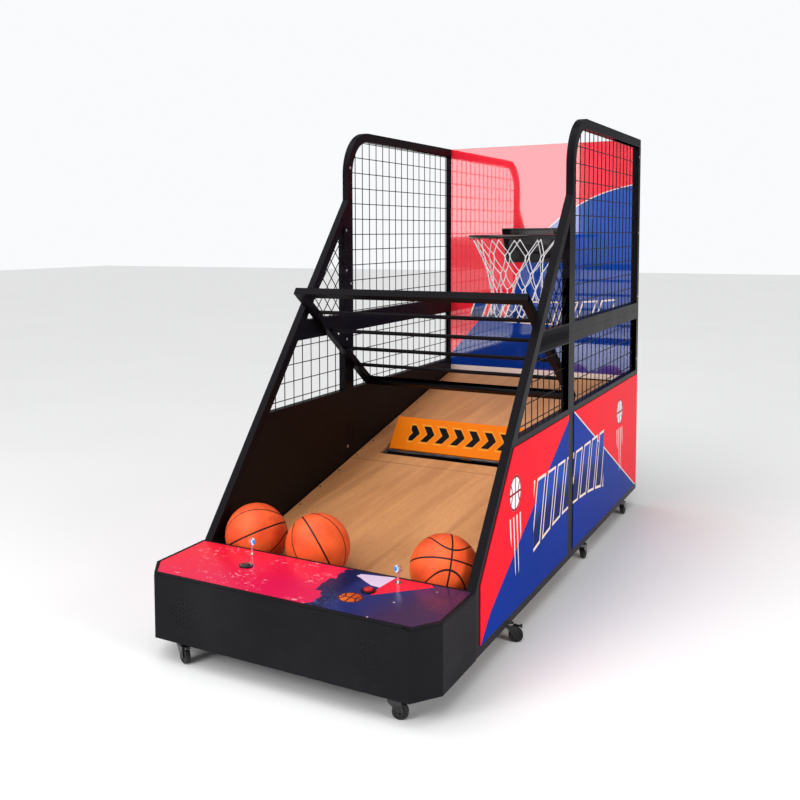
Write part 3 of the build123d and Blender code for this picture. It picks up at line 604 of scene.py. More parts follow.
@dataclass
class BoardPrint(Print):
    """Backboard print: red with a blue dome and a row of outlined bars, under glossy acrylic."""

    name: str = "board_print_gloss"
    red: Colour = (0.90, 0.018, 0.040)
    blue: Colour = (0.004, 0.070, 0.42)
    deep: Colour = (0.0, 0.030, 0.27)
    cream: Colour = (0.86, 0.72, 0.66)
    navy: Colour = (0.006, 0.012, 0.075)
    dome: Point = (0.62, 0.95, 0.70)
    dome_width: float = 0.76
    lower: tuple[Flat, ...] = ((-0.60, 0.60), (0.60, 0.60), (0.60, 0.95), (-0.30, 0.95))
    band_middle: Flat = (0.02, 0.975)
    band_half: float = 0.392
    bar_pitch: float = 0.098
    bar_lean: float = 0.35
    bar_height: float = 0.062
    bar_edge: float = 0.008
    foot_strip: float = 0.668
    back: Colour = (0.035, 0.034, 0.037)
    back_y: float = from_front(2.600)

    def make(self) -> bpy.types.Material:
        """Build the material."""
        self.paint = paint = Paint(self.name)
        x, y, z = paint.axes()
        u = (x - self.dome[0]) / self.dome_width
        v = (z - self.dome[1]) / self.dome[2]
        dome = 1.0 - (u * u + v * v).root()
        lower = paint.region(x, z, self.lower)
        field = dome.most(lower).rise(-SHARP, SHARP)
        cloud = paint.noise(2.0, 3.0)
        blue = paint.mix((z + cloud * 0.3).rise(0.9, 1.7), self.deep, self.blue)
        base = paint.mix(field, self.red, blue)
        stripe = (0.004 - dome.size()).rise(-SHARP, SHARP) * (z - 0.95).rise(0.0, 0.004)
        base = paint.mix(stripe * 0.8, base, self.cream)
        along = x - self.band_middle[0]
        band = z - (self.band_middle[1] + along * along * 0.15)
        whole, core = self.bars(along, band, self.bar_pitch, self.bar_lean, self.bar_height, self.bar_edge)
        ends = (self.band_half - along.size()).rise(-SHARP, SHARP)
        base = paint.mix(whole * ends, base, self.cream)
        base = paint.mix(core * ends, base, paint.mix(band.rise(-0.05, 0.06), self.navy, self.blue))
        foot = (z - self.foot_strip).rise(SHARP, -SHARP)
        base = paint.mix(foot, base, self.cream)
        base = paint.mix((y - self.back_y).rise(0.0, 0.0005), base, self.back)
        normal = paint.bump(paint.noise(2.2, 2.0), 0.06, 0.02)
        return paint.surface(Base_Color=base, Roughness=0.06 + cloud * 0.03, Normal=normal,
                             Coat_Weight=1.0, Coat_Roughness=0.02, Coat_IOR=1.9)


@dataclass
class FlapPrint(Print):
    """Satin orange flap with black arrowheads and a thin pale edge."""

    name: str = "flap_orange"
    orange: Colour = (1.0, 0.235, 0.0)
    black: Colour = (0.004, 0.002, 0.003)
    middle: float = 0.478
    across: float = -0.005
    pitch: float = 0.074
    half_height: float = 0.031
    half_row: float = 0.285

    def make(self) -> bpy.types.Material:
        """Build the material."""
        self.paint = paint = Paint(self.name)
        x, _, z = paint.axes()
        cloud = paint.noise(4.0, 4.0)
        up = z - self.middle
        lean = up.size() * 0.9 + x
        cell = (lean / self.pitch).fraction() - 0.5
        aside = (x - self.across).size()
        arrow = (0.25 - cell.size()).rise(0.0, 0.012) * (self.half_height - up.size()).rise(-SHARP, SHARP)
        arrow = arrow * (self.half_row - aside).rise(-SHARP, SHARP)
        base = paint.mix(cloud, self.orange, (1.0, 0.200, 0.0))
        halo = (self.half_height + 0.005 - up.size()).rise(-0.004, 0.0) * (0.33 - cell.size()).rise(0.0, 0.05)
        halo = halo * (self.half_row + 0.005 - aside).rise(-SHARP, SHARP)
        base = paint.mix(halo * 0.6, base, (1.0, 0.45, 0.06))
        base = paint.mix(arrow, base, self.black)
        normal = paint.bump(paint.noise(380.0, 2.0), 0.08, 0.0005)
        rough = 0.34 + cloud * 0.08
        return paint.surface(Base_Color=base, Roughness=rough, Normal=normal, Specular_IOR_Level=0.1)


@dataclass(frozen=True)
class RampWood:
    """Tan laminate with long wandering grain and pores, with painted shade towards its front foot and darker
    towards the rear.
    """

    name: str = "ramp_laminate"
    light: Colour = (0.74, 0.345, 0.140)
    dark: Colour = (0.54, 0.228, 0.086)
    pore: Colour = (0.27, 0.100, 0.038)
    # colour of the painted shade towards the front foot, also used to darken the rear
    foot_shade_dark_rear: Colour = (0.30, 0.130, 0.050)
    joint: float = from_front(1.401)
    half_width: float = 0.484

    def make(self) -> bpy.types.Material:
        """Build the material."""
        paint = Paint(self.name)
        x, y, _ = paint.axes()
        skewed = paint.moved((0.0, 0.0, 0.0), (0.0, 0.0, math.radians(9.0)))
        wander = paint.noise(1.6, 3.0, (1.0, 0.5, 1.0), 0.4, skewed)
        broad = paint.noise(5.0, 5.0, (2.6, 0.22, 1.0), 0.9, skewed)
        figure = paint.noise(9.0, 6.0, (3.4, 0.16, 1.0), 1.6, skewed)
        line = (figure * 9.0 + wander * 3.0).fraction()
        vein = (0.5 - (line - 0.5).size()).rise(0.44, 0.5)
        fine = paint.noise(120.0, 3.0, (1.0, 0.03, 1.0), 0.0, skewed)
        pores = paint.noise(300.0, 2.0, (1.0, 0.045, 1.0), 0.0, skewed).rise(0.62, 0.72)
        base = paint.mix(broad.rise(0.30, 0.75), self.light, self.dark)
        base = paint.mix(vein * (0.25 + wander * 0.45), base, self.pore)
        base = paint.mix(fine.rise(0.45, 0.75) * 0.22, base, self.dark)
        base = paint.mix(pores * 0.30, base, self.pore)
        # painted shade: darker towards the front, where the control box shades the ramp; also darker towards
        # the rear
        foot_shade_dark_rear = (y * -1.0).rise(0.20, 0.75) * 0.30 + y.rise(0.45, 1.15) * 0.60
        base = paint.mix(foot_shade_dark_rear, base, self.foot_shade_dark_rear)
        edge = (x.size() - self.half_width).rise(0.0, 0.002) * 0.25
        base = paint.mix(edge, base, self.pore)
        joint = (0.0024 - (y - self.joint).size()).rise(0.0, 0.0010) * 0.75
        base = paint.mix(joint, base, self.pore)
        rough = 0.36 + broad * 0.14 + pores * 0.1
        height = fine * 0.3 + vein * 0.3 - pores * 0.5
        return paint.surface(Base_Color=base, Roughness=rough, Normal=paint.bump(height, 0.16, 0.0006),
                             Specular_IOR_Level=0.30)


@dataclass(frozen=True)
class BallRubber:
    """Pebbled orange rubber with black seams."""

    name: str
    centre: Point
    turn: Point
    radius: float = 0.115
    orange: Colour = (0.90, 0.125, 0.028)
    shade: Colour = (0.62, 0.062, 0.014)
    seam: Colour = (0.010, 0.006, 0.006)

    def make(self) -> bpy.types.Material:
        """Build the material."""
        paint = Paint(self.name)
        small = 1.0 / self.radius
        local = paint.moved(self.centre, self.turn, (small, small, small))
        x, y, z = paint.axes(local)
        loop = x.size() - WAIST - z * z * SPREAD
        nearest = x.size().least(z.size()).least(loop.size() * 0.85)
        seam = nearest.rise(0.030, 0.022)
        pebble = paint.cells(430.0)
        cloud = paint.noise(16.0, 5.0)
        rub = paint.noise(9.0, 3.0).rise(0.5, 0.8)
        base = paint.mix(cloud.rise(0.3, 0.8), self.orange, self.shade)
        base = paint.mix(pebble.rise(0.35, 0.75) * 0.3, base, self.shade)
        base = paint.mix(seam, base, self.seam)
        rough = 0.42 + rub * 0.12 + seam * 0.1
        normal = paint.bump((1.0 - pebble) * (1.0 - seam), 0.5, 0.0007)
        return paint.surface(Base_Color=base, Roughness=rough, Normal=normal, Specular_IOR_Level=0.30)


@dataclass(frozen=True)
class NetCord:
    """White braided cord."""

    name: str = "net_cord_white"
    light: Colour = (0.86, 0.85, 0.87)
    grey: Colour = (0.52, 0.50, 0.54)

    def make(self) -> bpy.types.Material:
        """Build the material."""
        paint = Paint(self.name)
        x, y, z = paint.axes()
        plait = ((x * 190.0 + z * 330.0).fraction() - 0.5).size()
        plait = plait + ((y * 190.0 - z * 330.0).fraction() - 0.5).size()
        soil = paint.noise(30.0, 4.0).rise(0.4, 0.8)
        # the grey in the braid's grooves is painted shade; the grey soil patches are dirt
        base = paint.mix(plait.rise(0.75, 0.25) * 0.5 + soil * 0.35, self.light, self.grey)
        return paint.surface(Base_Color=base, Roughness=0.85, Normal=paint.bump(plait, 0.5, 0.0008),
                             Sheen_Weight=0.2)


@dataclass(frozen=True)
class KeyFinish:
    """Plated key blade with a moulded blue head that has a pale ring."""

    name: str
    across: float
    up: float = 0.343
    radius: float = 0.013
    blade: Colour = (0.74, 0.74, 0.76)
    blue: Colour = (0.010, 0.26, 0.85)
    ring: Colour = (0.66, 0.88, 0.95)

    def make(self) -> bpy.types.Material:
        """Build the material."""
        paint = Paint(self.name)
        x, _, z = paint.axes()
        u = x - self.across
        v = z - self.up
        away = (u * u + v * v).root()
        head = away.rise(self.radius * 1.12, self.radius * 1.08)
        core = away.rise(self.radius * 0.74, self.radius * 0.68)
        scratch = paint.noise(600.0, 2.0, (1.0, 1.0, 0.1))
        moulded = paint.mix(core, self.ring, paint.mix(scratch, self.blue, (0.02, 0.38, 0.95)))
        base = paint.mix(head, self.blade, moulded)
        return paint.surface(Base_Color=base, Roughness=0.22 + scratch * 0.1, Metallic=1.0 - head,
                             Normal=paint.bump(scratch, 0.08, 0.0002))


@dataclass(frozen=True)
class BezelFinish:
    """Black button surround with a raised silver ring on the start button's side."""

    name: str = "button_bezel"
    across: float = -0.230
    along: float = from_front(0.197)
    inner: float = 0.0158
    outer: float = 0.0192
    soft: float = 0.0003
    black: Colour = (0.006, 0.006, 0.007)
    silver: Colour = (0.62, 0.68, 0.70)

    def make(self) -> bpy.types.Material:
        """Build the material."""
        paint = Paint(self.name)
        x, y, _ = paint.axes()
        u = x - self.across
        v = y - self.along
        away = (u * u + v * v).root()
        ring = away.rise(self.inner - self.soft, self.inner + self.soft)
        ring = ring * away.rise(self.outer + self.soft, self.outer - self.soft)
        grain = paint.noise(900.0, 2.0)
        base = paint.mix(ring, self.black, self.silver)
        return paint.surface(Base_Color=base, Roughness=0.3 + grain * 0.1, Metallic=ring,
                             Normal=paint.bump(grain, 0.1, 0.0002), Specular_IOR_Level=0.3)


@dataclass(frozen=True)
class CircuitBoard:
    """Green circuit board with copper tracks and pads."""

    name: str = "circuit_board"

    def make(self) -> bpy.types.Material:
        """Build the material."""
        paint = Paint(self.name)
        x, y, _ = paint.axes()
        along = ((y * 190.0).fraction() - 0.5).size()
        track = ((x * 260.0).fraction() - 0.5).size().least(along).rise(0.12, 0.06)
        run = paint.noise(70.0, 1.0).rise(0.5, 0.54)
        base = paint.mix(track * run, (0.008, 0.075, 0.022), (0.025, 0.16, 0.045))
        pads = paint.cells(260.0).rise(0.16, 0.12)
        base = paint.mix(pads, base, (0.62, 0.52, 0.30))
        return paint.surface(Base_Color=base, Roughness=0.32, Normal=paint.bump(track + pads, 0.3, 0.0003))


# ---------------------------------------------------------------- geometry trees
class Recipe:
    """A Geometry Nodes tree with named inputs."""

    def __init__(self, name: str, inputs: dict[str, str]) -> None:
        """Start the tree.

        Args:
            name: of the tree.
            inputs: socket type of each named input, after the geometry.
        """
        self.tree = bpy.data.node_groups.new(name, "GeometryNodeTree")
        face = self.tree.interface
        face.new_socket("Geometry", in_out="INPUT", socket_type="NodeSocketGeometry")
        for label, kind in inputs.items():
            face.new_socket(label, in_out="INPUT", socket_type=kind)
        face.new_socket("Geometry", in_out="OUTPUT", socket_type="NodeSocketGeometry")
        self.start = self.tree.nodes.new("NodeGroupInput").outputs
        self.end = self.tree.nodes.new("NodeGroupOutput").inputs

    def node(self, kind: str, settings: dict[str, Any] | None = None,
             sockets: dict[Any, Any] | None = None) -> bpy.types.Node:
        """Add a node with its settings, and a value or a link for each of its sockets."""
        made = self.tree.nodes.new(kind)
        for key, value in (settings or {}).items():
            setattr(made, key, value)
        for key, value in (sockets or {}).items():
            if isinstance(value, bpy.types.NodeSocket):
                self.tree.links.new(value, made.inputs[key])
            else:
                made.inputs[key].default_value = value
        return made

    def close(self, geometry: bpy.types.NodeSocket, smooth: bool = True) -> "Recipe":
        """End the tree: real meshes, their shading and their material."""
        real = self.node("GeometryNodeRealizeInstances", None, {0: geometry})
        shaded = self.node("GeometryNodeSetShadeSmooth", None,
                           {"Geometry": real.outputs[0], "Shade Smooth": smooth})
        dressed = self.node("GeometryNodeSetMaterial", None,
                            {"Geometry": shaded.outputs[0], "Material": self.start["Material"]})
        self.tree.links.new(dressed.outputs[0], self.end[0])
        return self

    def apply(self, source: bpy.types.Object, name: str, values: dict[str, Any]) -> bpy.types.Object:
        """Run the tree on a mesh and keep the result as a plain mesh.

        Args:
            source: the guide mesh, which is used up.
            name: of the new piece.
            values: a value for each named input.

        Returns:
            The new piece.
        """
        modifier = source.modifiers.new("recipe", "NODES")
        modifier.node_group = self.tree
        for item in self.tree.interface.items_tree:
            if item.in_out == "INPUT" and item.name in values:
                modifier[item.identifier] = values[item.name]
        bpy.context.view_layer.update()
        graph = bpy.context.evaluated_depsgraph_get()
        mesh = bpy.data.meshes.new_from_object(source.evaluated_get(graph))
        mesh.name = name
        source.modifiers.remove(modifier)
        bpy.data.objects.remove(source)
        return linked(name, mesh)


def linked(name: str, mesh: bpy.types.Mesh) -> bpy.types.Object:
    """Put a mesh into the scene as an object at the origin."""
    made = bpy.data.objects.new(name, mesh)
    bpy.context.scene.collection.objects.link(made)
    return made


def guide(name: str, points: Sequence[Point], edges: Sequence[tuple[int, int]] = (),
          facing: Sequence[Point] = ()) -> bpy.types.Object:
    """A mesh of loose points or edges for a recipe.

    Args:
        name: of the object.
        points: its vertices.
        edges: pairs of vertices.
        facing: a direction for each vertex, kept as its attribute "facing".

    Returns:
        The guide object.
    """
    mesh = bpy.data.meshes.new(name)
    mesh.from_pydata(list(points), list(edges), [])
    if facing:
        attribute = mesh.attributes.new("facing", "FLOAT_VECTOR", "POINT")
        attribute.data.foreach_set("vector", [part for direction in facing for part in direction])
    return linked(name, mesh)


def rod_recipe() -> Recipe:
    """Round rods or cords along the edges of the guide."""
    recipe = Recipe("rods_on_edges", {"Radius": "NodeSocketFloat", "Sides": "NodeSocketInt",
                                      "Material": "NodeSocketMaterial"})
    lines = recipe.node("GeometryNodeMeshToCurve", None, {0: recipe.start["Geometry"]})
    ring = recipe.node("GeometryNodeCurvePrimitiveCircle", {"mode": "RADIUS"},
                       {"Resolution": recipe.start["Sides"], "Radius": recipe.start["Radius"]})
    tube = recipe.node("GeometryNodeCurveToMesh", None,
                       {"Curve": lines.outputs[0], "Profile Curve": ring.outputs[0], "Fill Caps": True})
    return recipe.close(tube.outputs[0])


def knot_recipe() -> Recipe:
    """A round knot on each point of the guide."""
    recipe = Recipe("knots_on_points", {"Radius": "NodeSocketFloat", "Material": "NodeSocketMaterial"})
    knot = recipe.node("GeometryNodeMeshIcoSphere", None,
                       {"Radius": recipe.start["Radius"], "Subdivisions": 2})
    copies = recipe.node("GeometryNodeInstanceOnPoints", None,
                         {"Points": recipe.start["Geometry"], "Instance": knot.outputs[0],
                          "Scale": (1.0, 1.0, 1.5)})
    return recipe.close(copies.outputs[0])


def screw_recipe() -> Recipe:
    """A button-head screw with a hexagon recess and a washer on each point, facing its way."""
    recipe = Recipe("screws_on_points", {"Radius": "NodeSocketFloat", "Height": "NodeSocketFloat",
                                         "Recess": "NodeSocketFloat", "Washer": "NodeSocketFloat",
                                         "Material": "NodeSocketMaterial"})
    start = recipe.start
    crown = recipe.node("ShaderNodeMath", {"operation": "MULTIPLY"}, {0: start["Radius"], 1: 0.62})
    head = recipe.node("GeometryNodeMeshCone", None,
                       {"Vertices": 20, "Side Segments": 1, "Radius Top": crown.outputs[0],
                        "Radius Bottom": start["Radius"], "Depth": start["Height"]})
    key = recipe.node("GeometryNodeMeshCylinder", None,
                      {"Vertices": 6, "Radius": start["Recess"], "Depth": start["Height"]})
    lift = recipe.node("ShaderNodeCombineXYZ", None, {2: start["Height"]})
    key_up = recipe.node("GeometryNodeTransform", None,
                         {"Geometry": key.outputs[0], "Translation": lift.outputs[0]})
    cut = recipe.node("GeometryNodeMeshBoolean", {"operation": "DIFFERENCE"},
                      {0: head.outputs[0], 1: key_up.outputs[0]})
    ring = recipe.node("GeometryNodeMeshCylinder", None,
                       {"Vertices": 24, "Radius": start["Washer"], "Depth": 0.0012})
    both = recipe.node("GeometryNodeJoinGeometry")
    recipe.tree.links.new(cut.outputs[0], both.inputs[0])
    recipe.tree.links.new(ring.outputs[0], both.inputs[0])
    facing = recipe.node("GeometryNodeInputNamedAttribute", {"data_type": "FLOAT_VECTOR"},
                         {"Name": "facing"})
    turn = recipe.node("FunctionNodeAlignRotationToVector", {"axis": "Z"}, {"Vector": facing.outputs[0]})
    copies = recipe.node("GeometryNodeInstanceOnPoints", None, {
        "Points": start["Geometry"], "Instance": both.outputs[0], "Rotation": turn.outputs[0]})
    return recipe.close(copies.outputs[0], smooth=False)


# ---------------------------------------------------------------- workshop
class Workshop:
    """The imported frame, the finishes and the ways of putting a piece on it."""

    def __init__(self) -> None:
        """Load the frame."""
        self.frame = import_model()
        self.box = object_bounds()
        self.slots = {part["node"]: part["material_slot"] for part in self.frame["record"]["subparts"]}
        self.made: dict[str, bpy.types.Material] = {}

    def finish(self, finish: Any) -> bpy.types.Material:
        """The material of a finish, built once."""
        if finish.name not in self.made:
            self.made[finish.name] = finish.make()
        return self.made[finish.name]

    def node(self, name: str) -> bpy.types.Object:
        """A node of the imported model."""
        return self.frame["nodes"][name]

    def keep(self, name: str, finish: Any) -> None:
        """Leave a node as it is and give it a finish."""
        material = self.finish(finish)
        for slot in self.node(name).material_slots:
            slot.material = material
        log.info("%s keeps its shape", name)

    def stand_in(self, piece: bpy.types.Object, body: str, slot: str, *replaced: str) -> bpy.types.Object:
        """Let a piece ride on a body, in place of some nodes."""
        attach(piece, body)
        if replaced:
            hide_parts(*replaced)
        log.info("%s rides on %s", piece.name, body)
        return piece

    def merged(self, name: str) -> bmesh.types.BMesh:
        """A copy of a node with its loose triangles joined into plain faces."""
        work = bmesh.new()
        work.from_mesh(self.node(name).data)
        bmesh.ops.remove_doubles(work, verts=work.verts, dist=1e-6)
        bmesh.ops.dissolve_limit(work, angle_limit=math.radians(0.6), verts=work.verts, edges=work.edges)
        return work

    def rounded(self, name: str, finish: Any, width: float, shortest: float = 0.0, segments: int = 2,
                sharp: float = 40.0) -> bpy.types.Object:
        """Replace a node by a copy with rounded edges.

        Args:
            name: of the node.
            finish: its finish.
            width: of the rounding.
            shortest: edges shorter than this stay as they are.
            segments: facets of a rounding.
            sharp: edges with a smaller angle in degrees stay as they are.

        Returns:
            The new piece.
        """
        work = self.merged(name)
        edges = [edge for edge in work.edges
                 if len(edge.link_faces) == 2 and edge.calc_length() >= shortest
                 and edge.calc_face_angle(0.0) > math.radians(sharp)]
        made = bmesh.ops.bevel(work, geom=edges, offset=width, offset_type="OFFSET", segments=segments,
                               profile=0.5, affect="EDGES", clamp_overlap=True)
        strips = set(made["faces"])
        for face in work.faces:
            face.smooth = True
        for edge in work.edges:
            border = len({face in strips for face in edge.link_faces}) == 2
            edge.smooth = not border and edge.calc_face_angle(0.0) < math.radians(32.0)
        mesh = bpy.data.meshes.new(name + "_rounded")
        work.to_mesh(mesh)
        work.free()
        mesh.materials.append(self.finish(finish))
        piece = linked(name + "_rounded", mesh)
        return self.stand_in(piece, self.node(name)["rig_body"], self.slots[name], name)

    def islands(self, name: str) -> list[tuple[Vector, Vector]]:
        """Lowest and highest corner of each separate solid of a node."""
        work = bmesh.new()
        work.from_mesh(self.node(name).data)
        bmesh.ops.remove_doubles(work, verts=work.verts, dist=1e-6)
        seen: set[bmesh.types.BMVert] = set()
        boxes = []
        for start in work.verts:
            if start in seen:
                continue
            group = [start]
            seen.add(start)
            for vertex in group:
                for edge in vertex.link_edges:
                    other = edge.other_vert(vertex)
                    if other not in seen:
                        seen.add(other)
                        group.append(other)
            low = Vector(min(v.co[axis] for v in group) for axis in range(3))
            high = Vector(max(v.co[axis] for v in group) for axis in range(3))
            boxes.append((low, high))
        work.free()
        return boxes


POWDER = PowderCoat()
BOX_PAINT = BoxPaint()
ZINC = Metal("zinc_plate", (0.60, 0.60, 0.62), 0.24)
STEEL = Metal("bright_steel", (0.50, 0.50, 0.52), 0.26)
CHROME = Metal("lock_chrome", (0.78, 0.78, 0.80), 0.10, 0.3)
ALUMINIUM = Metal("case_aluminium", (0.66, 0.66, 0.68), 0.34)
GLOSS_BLACK = GlossPaint("rim_gloss_black", (0.006, 0.005, 0.006), 0.16, 0.25)
BUTTON_RED = GlossPaint("button_red", (0.66, 0.008, 0.012), 0.16)
BUTTON_DARK = GlossPaint("button_dark", (0.022, 0.034, 0.036), 0.2)
MOTOR_GREY = GlossPaint("motor_grey", (0.11, 0.11, 0.12), 0.4, 0.1)
BLACK_PLASTIC = Plastic("black_plastic", (0.012, 0.012, 0.013), 0.42)
CASTER_BLACK = GlossPaint("caster_black", (0.010, 0.010, 0.011), 0.26, 0.3)
TYRE = Plastic("wheel_rubber", (0.016, 0.015, 0.015), 0.5, 0.2)
SHEET_BLACK = Plastic("sheet_black", (0.0030, 0.0022, 0.0026), 0.55, 0.15, 0.15)


# ---------------------------------------------------------------- sub-assemblies
@dataclass
class SideFrames:
    """Square tubes of both modules with rounded corners."""

    corner: float = 0.0028

    def build(self, shop: Workshop) -> None:
        """Dress the frames, the cross tubes and the sheets."""
        for name in ("front_frame", "rear_frame", "tall_frame"):
            for side in ("left", "right"):
                shop.rounded(f"{name}_{side}", POWDER, self.corner)
        shop.rounded("cross_members", POWDER, self.corner)
        shop.rounded("guard_grille", POWDER, self.corner)
        shop.keep("inner_sheets", SHEET_BLACK)
        for side in ("left", "right"):
            shop.rounded(f"printed_panels_{side}", SidePrint(), 0.0008)


@dataclass
class WireMesh:
    """Welded wire panels, as round wires along the panels' outlines."""

    wire_radius: float = 0.0020
    pitch: float = 0.070
    diamond: float = 0.052
    plane_x: float = 0.507
    sides: int = 8
    overlap: float = 0.004
    slant: float = math.radians(50.2)
    slant_foot: Flat = (0.353, 0.296)
    tube: float = 0.040
    lower: Flat = (0.701, 0.965)        # foot and top of the lower windows
    upper: Flat = (1.045, 1.828)        # foot and top of the upper windows
    post: float = 1.361                 # front window ends at the middle post
    rear: Flat = (1.441, 2.590)         # rear windows, from post to post
    bend: float = 0.160                 # inner radius of the tall frame's corner
    least_wire: float = 0.01
    reach: int = 14                     # wires tried each side of the middle

    def panels(self) -> list[tuple[list[Flat], float, float]]:
        """Outline, pitch and turn of each panel, in (distance from the front, height)."""
        rise = math.tan(self.slant)
        drop = self.tube / math.cos(self.slant)

        def inner(z: float) -> float:
            """Inner edge of the slanted post."""
            return self.slant_foot[0] + (z - self.slant_foot[1] + drop) / rise

        low, high = self.lower
        foot, top = self.upper
        near, far = self.rear
        post = self.post
        apex = self.slant_foot[1] + (post - self.slant_foot[0]) * rise - drop
        turn = (near + self.bend, top - self.bend)
        tall = [(near, foot), (far, foot), (far, top), (turn[0], top)]
        bend = [(turn[0] - self.bend * math.sin(step), turn[1] + self.bend * math.cos(step))
                for step in (math.radians(15.0 * index) for index in range(1, 7))]
        return [([(inner(low), low), (post, low), (post, high), (inner(high), high)], self.pitch, 0.0),
                ([(near, low), (far, low), (far, high), (near, high)], self.pitch, 0.0),
                ([(inner(foot), foot), (post, foot), (post, apex)], self.diamond, 45.0),
                (tall + bend, self.pitch, 0.0)]

    def _clip(self, outline: Sequence[Flat], origin: Flat, way: Flat) -> tuple[float, float] | None:
        """Where a line enters and leaves a convex outline, as distances along it."""
        near, far = -10.0, 10.0
        for (u0, v0), (u1, v1) in zip(outline, [*outline[1:], outline[0]]):
            across = (v0 - v1, u1 - u0)
            depth = (origin[0] - u0) * across[0] + (origin[1] - v0) * across[1]
            change = way[0] * across[0] + way[1] * across[1]
            if abs(change) < 1e-9:
                if depth < 0:
                    return None
            elif change > 0:
                near = max(near, -depth / change)
            else:
                far = min(far, -depth / change)
        return (near, far) if far - near > self.least_wire else None

    def wires(self, outline: Sequence[Flat], pitch: float, turn: float) -> Iterable[tuple[Flat, Flat, int]]:
        """End points of every wire of a panel, and which of its two layers it lies in."""
        middle = ((min(p[0] for p in outline) + max(p[0] for p in outline)) / 2,
                  (min(p[1] for p in outline) + max(p[1] for p in outline)) / 2)
        for layer in (0, 1):
            angle = math.radians(turn + 90.0 * layer)
            way = (math.cos(angle), math.sin(angle))
            aside = (-way[1], way[0])
            for step in range(-self.reach, self.reach):
                offset = (step + 0.5) * pitch
                origin = (middle[0] + aside[0] * offset, middle[1] + aside[1] * offset)
                span = self._clip(outline, origin, way)
                if span:
                    near, far = span[0] - self.overlap, span[1] + self.overlap
                    yield ((origin[0] + way[0] * near, origin[1] + way[1] * near),
                           (origin[0] + way[0] * far, origin[1] + way[1] * far), layer)

    def build(self, shop: Workshop, rods: Recipe) -> None:
        """Make the panels of both sides."""
        for side in Side:
            points: list[Point] = []
            edges = []
            for outline, pitch, turn in self.panels():
                for start, end, layer in self.wires(outline, pitch, turn):
                    x = side.value * (self.plane_x + (0.5 - layer) * 1.9 * self.wire_radius)
                    edges.append((len(points), len(points) + 1))
                    points += [(x, from_front(y), z) for y, z in (start, end)]
            label = "mesh_" + side.name.lower()
            piece = rods.apply(guide(label + "_guide", points, edges), label + "_wires", {
                "Radius": self.wire_radius, "Sides": self.sides, "Material": shop.finish(POWDER)})
            shop.stand_in(piece, "machine", "wire", label)


@dataclass
class BallRamp:
    """Laminated ramp boards with their screws."""

    slope: float = math.radians(11.9)
    foot_z: float = 0.164
    foot_y: float = 0.353
    rear_y: float = 2.56
    screw_x: float = 0.474
    screw_first: float = 0.09
    screw_pitch: float = 0.165

    def height(self, distance: float) -> float:
        """Height of the ramp at a distance from the front."""
        return self.foot_z + (distance - self.foot_y) * math.tan(self.slope)

    def build(self, shop: Workshop, screws: Recipe) -> None:
        """Dress the boards and set the screws."""
        shop.rounded("front_ramp_board", RampWood(), 0.0008)
        shop.rounded("rear_ramp_board", RampWood(), 0.0008)
        up = (0.0, -math.sin(self.slope), math.cos(self.slope))
        points = []
        distance = self.foot_y + self.screw_first
        while distance < self.rear_y:
            for x in (-self.screw_x, self.screw_x):
                points.append((x, from_front(distance), self.height(distance)))
            distance += self.screw_pitch
        piece = screws.apply(guide("ramp_screw_guide", points, (), [up] * len(points)), "ramp_screws", {
            "Radius": 0.0042, "Height": 0.0012, "Recess": 0.0018, "Washer": 0.0046,
            "Material": shop.finish(GLOSS_BLACK)})
        shop.stand_in(piece, "machine", "caster_black")


@dataclass
class BallGate:
    """Orange flap with its shaft, bearings and motor."""

    def build(self, shop: Workshop) -> None:
        """Dress the gate."""
        shop.rounded("gate_flap", FlapPrint(), 0.0010)
        shop.keep("gate_shaft", STEEL)
        shop.rounded("gate_bearings", STEEL, 0.0012)
        shop.rounded("gate_motor", MOTOR_GREY, 0.0015)


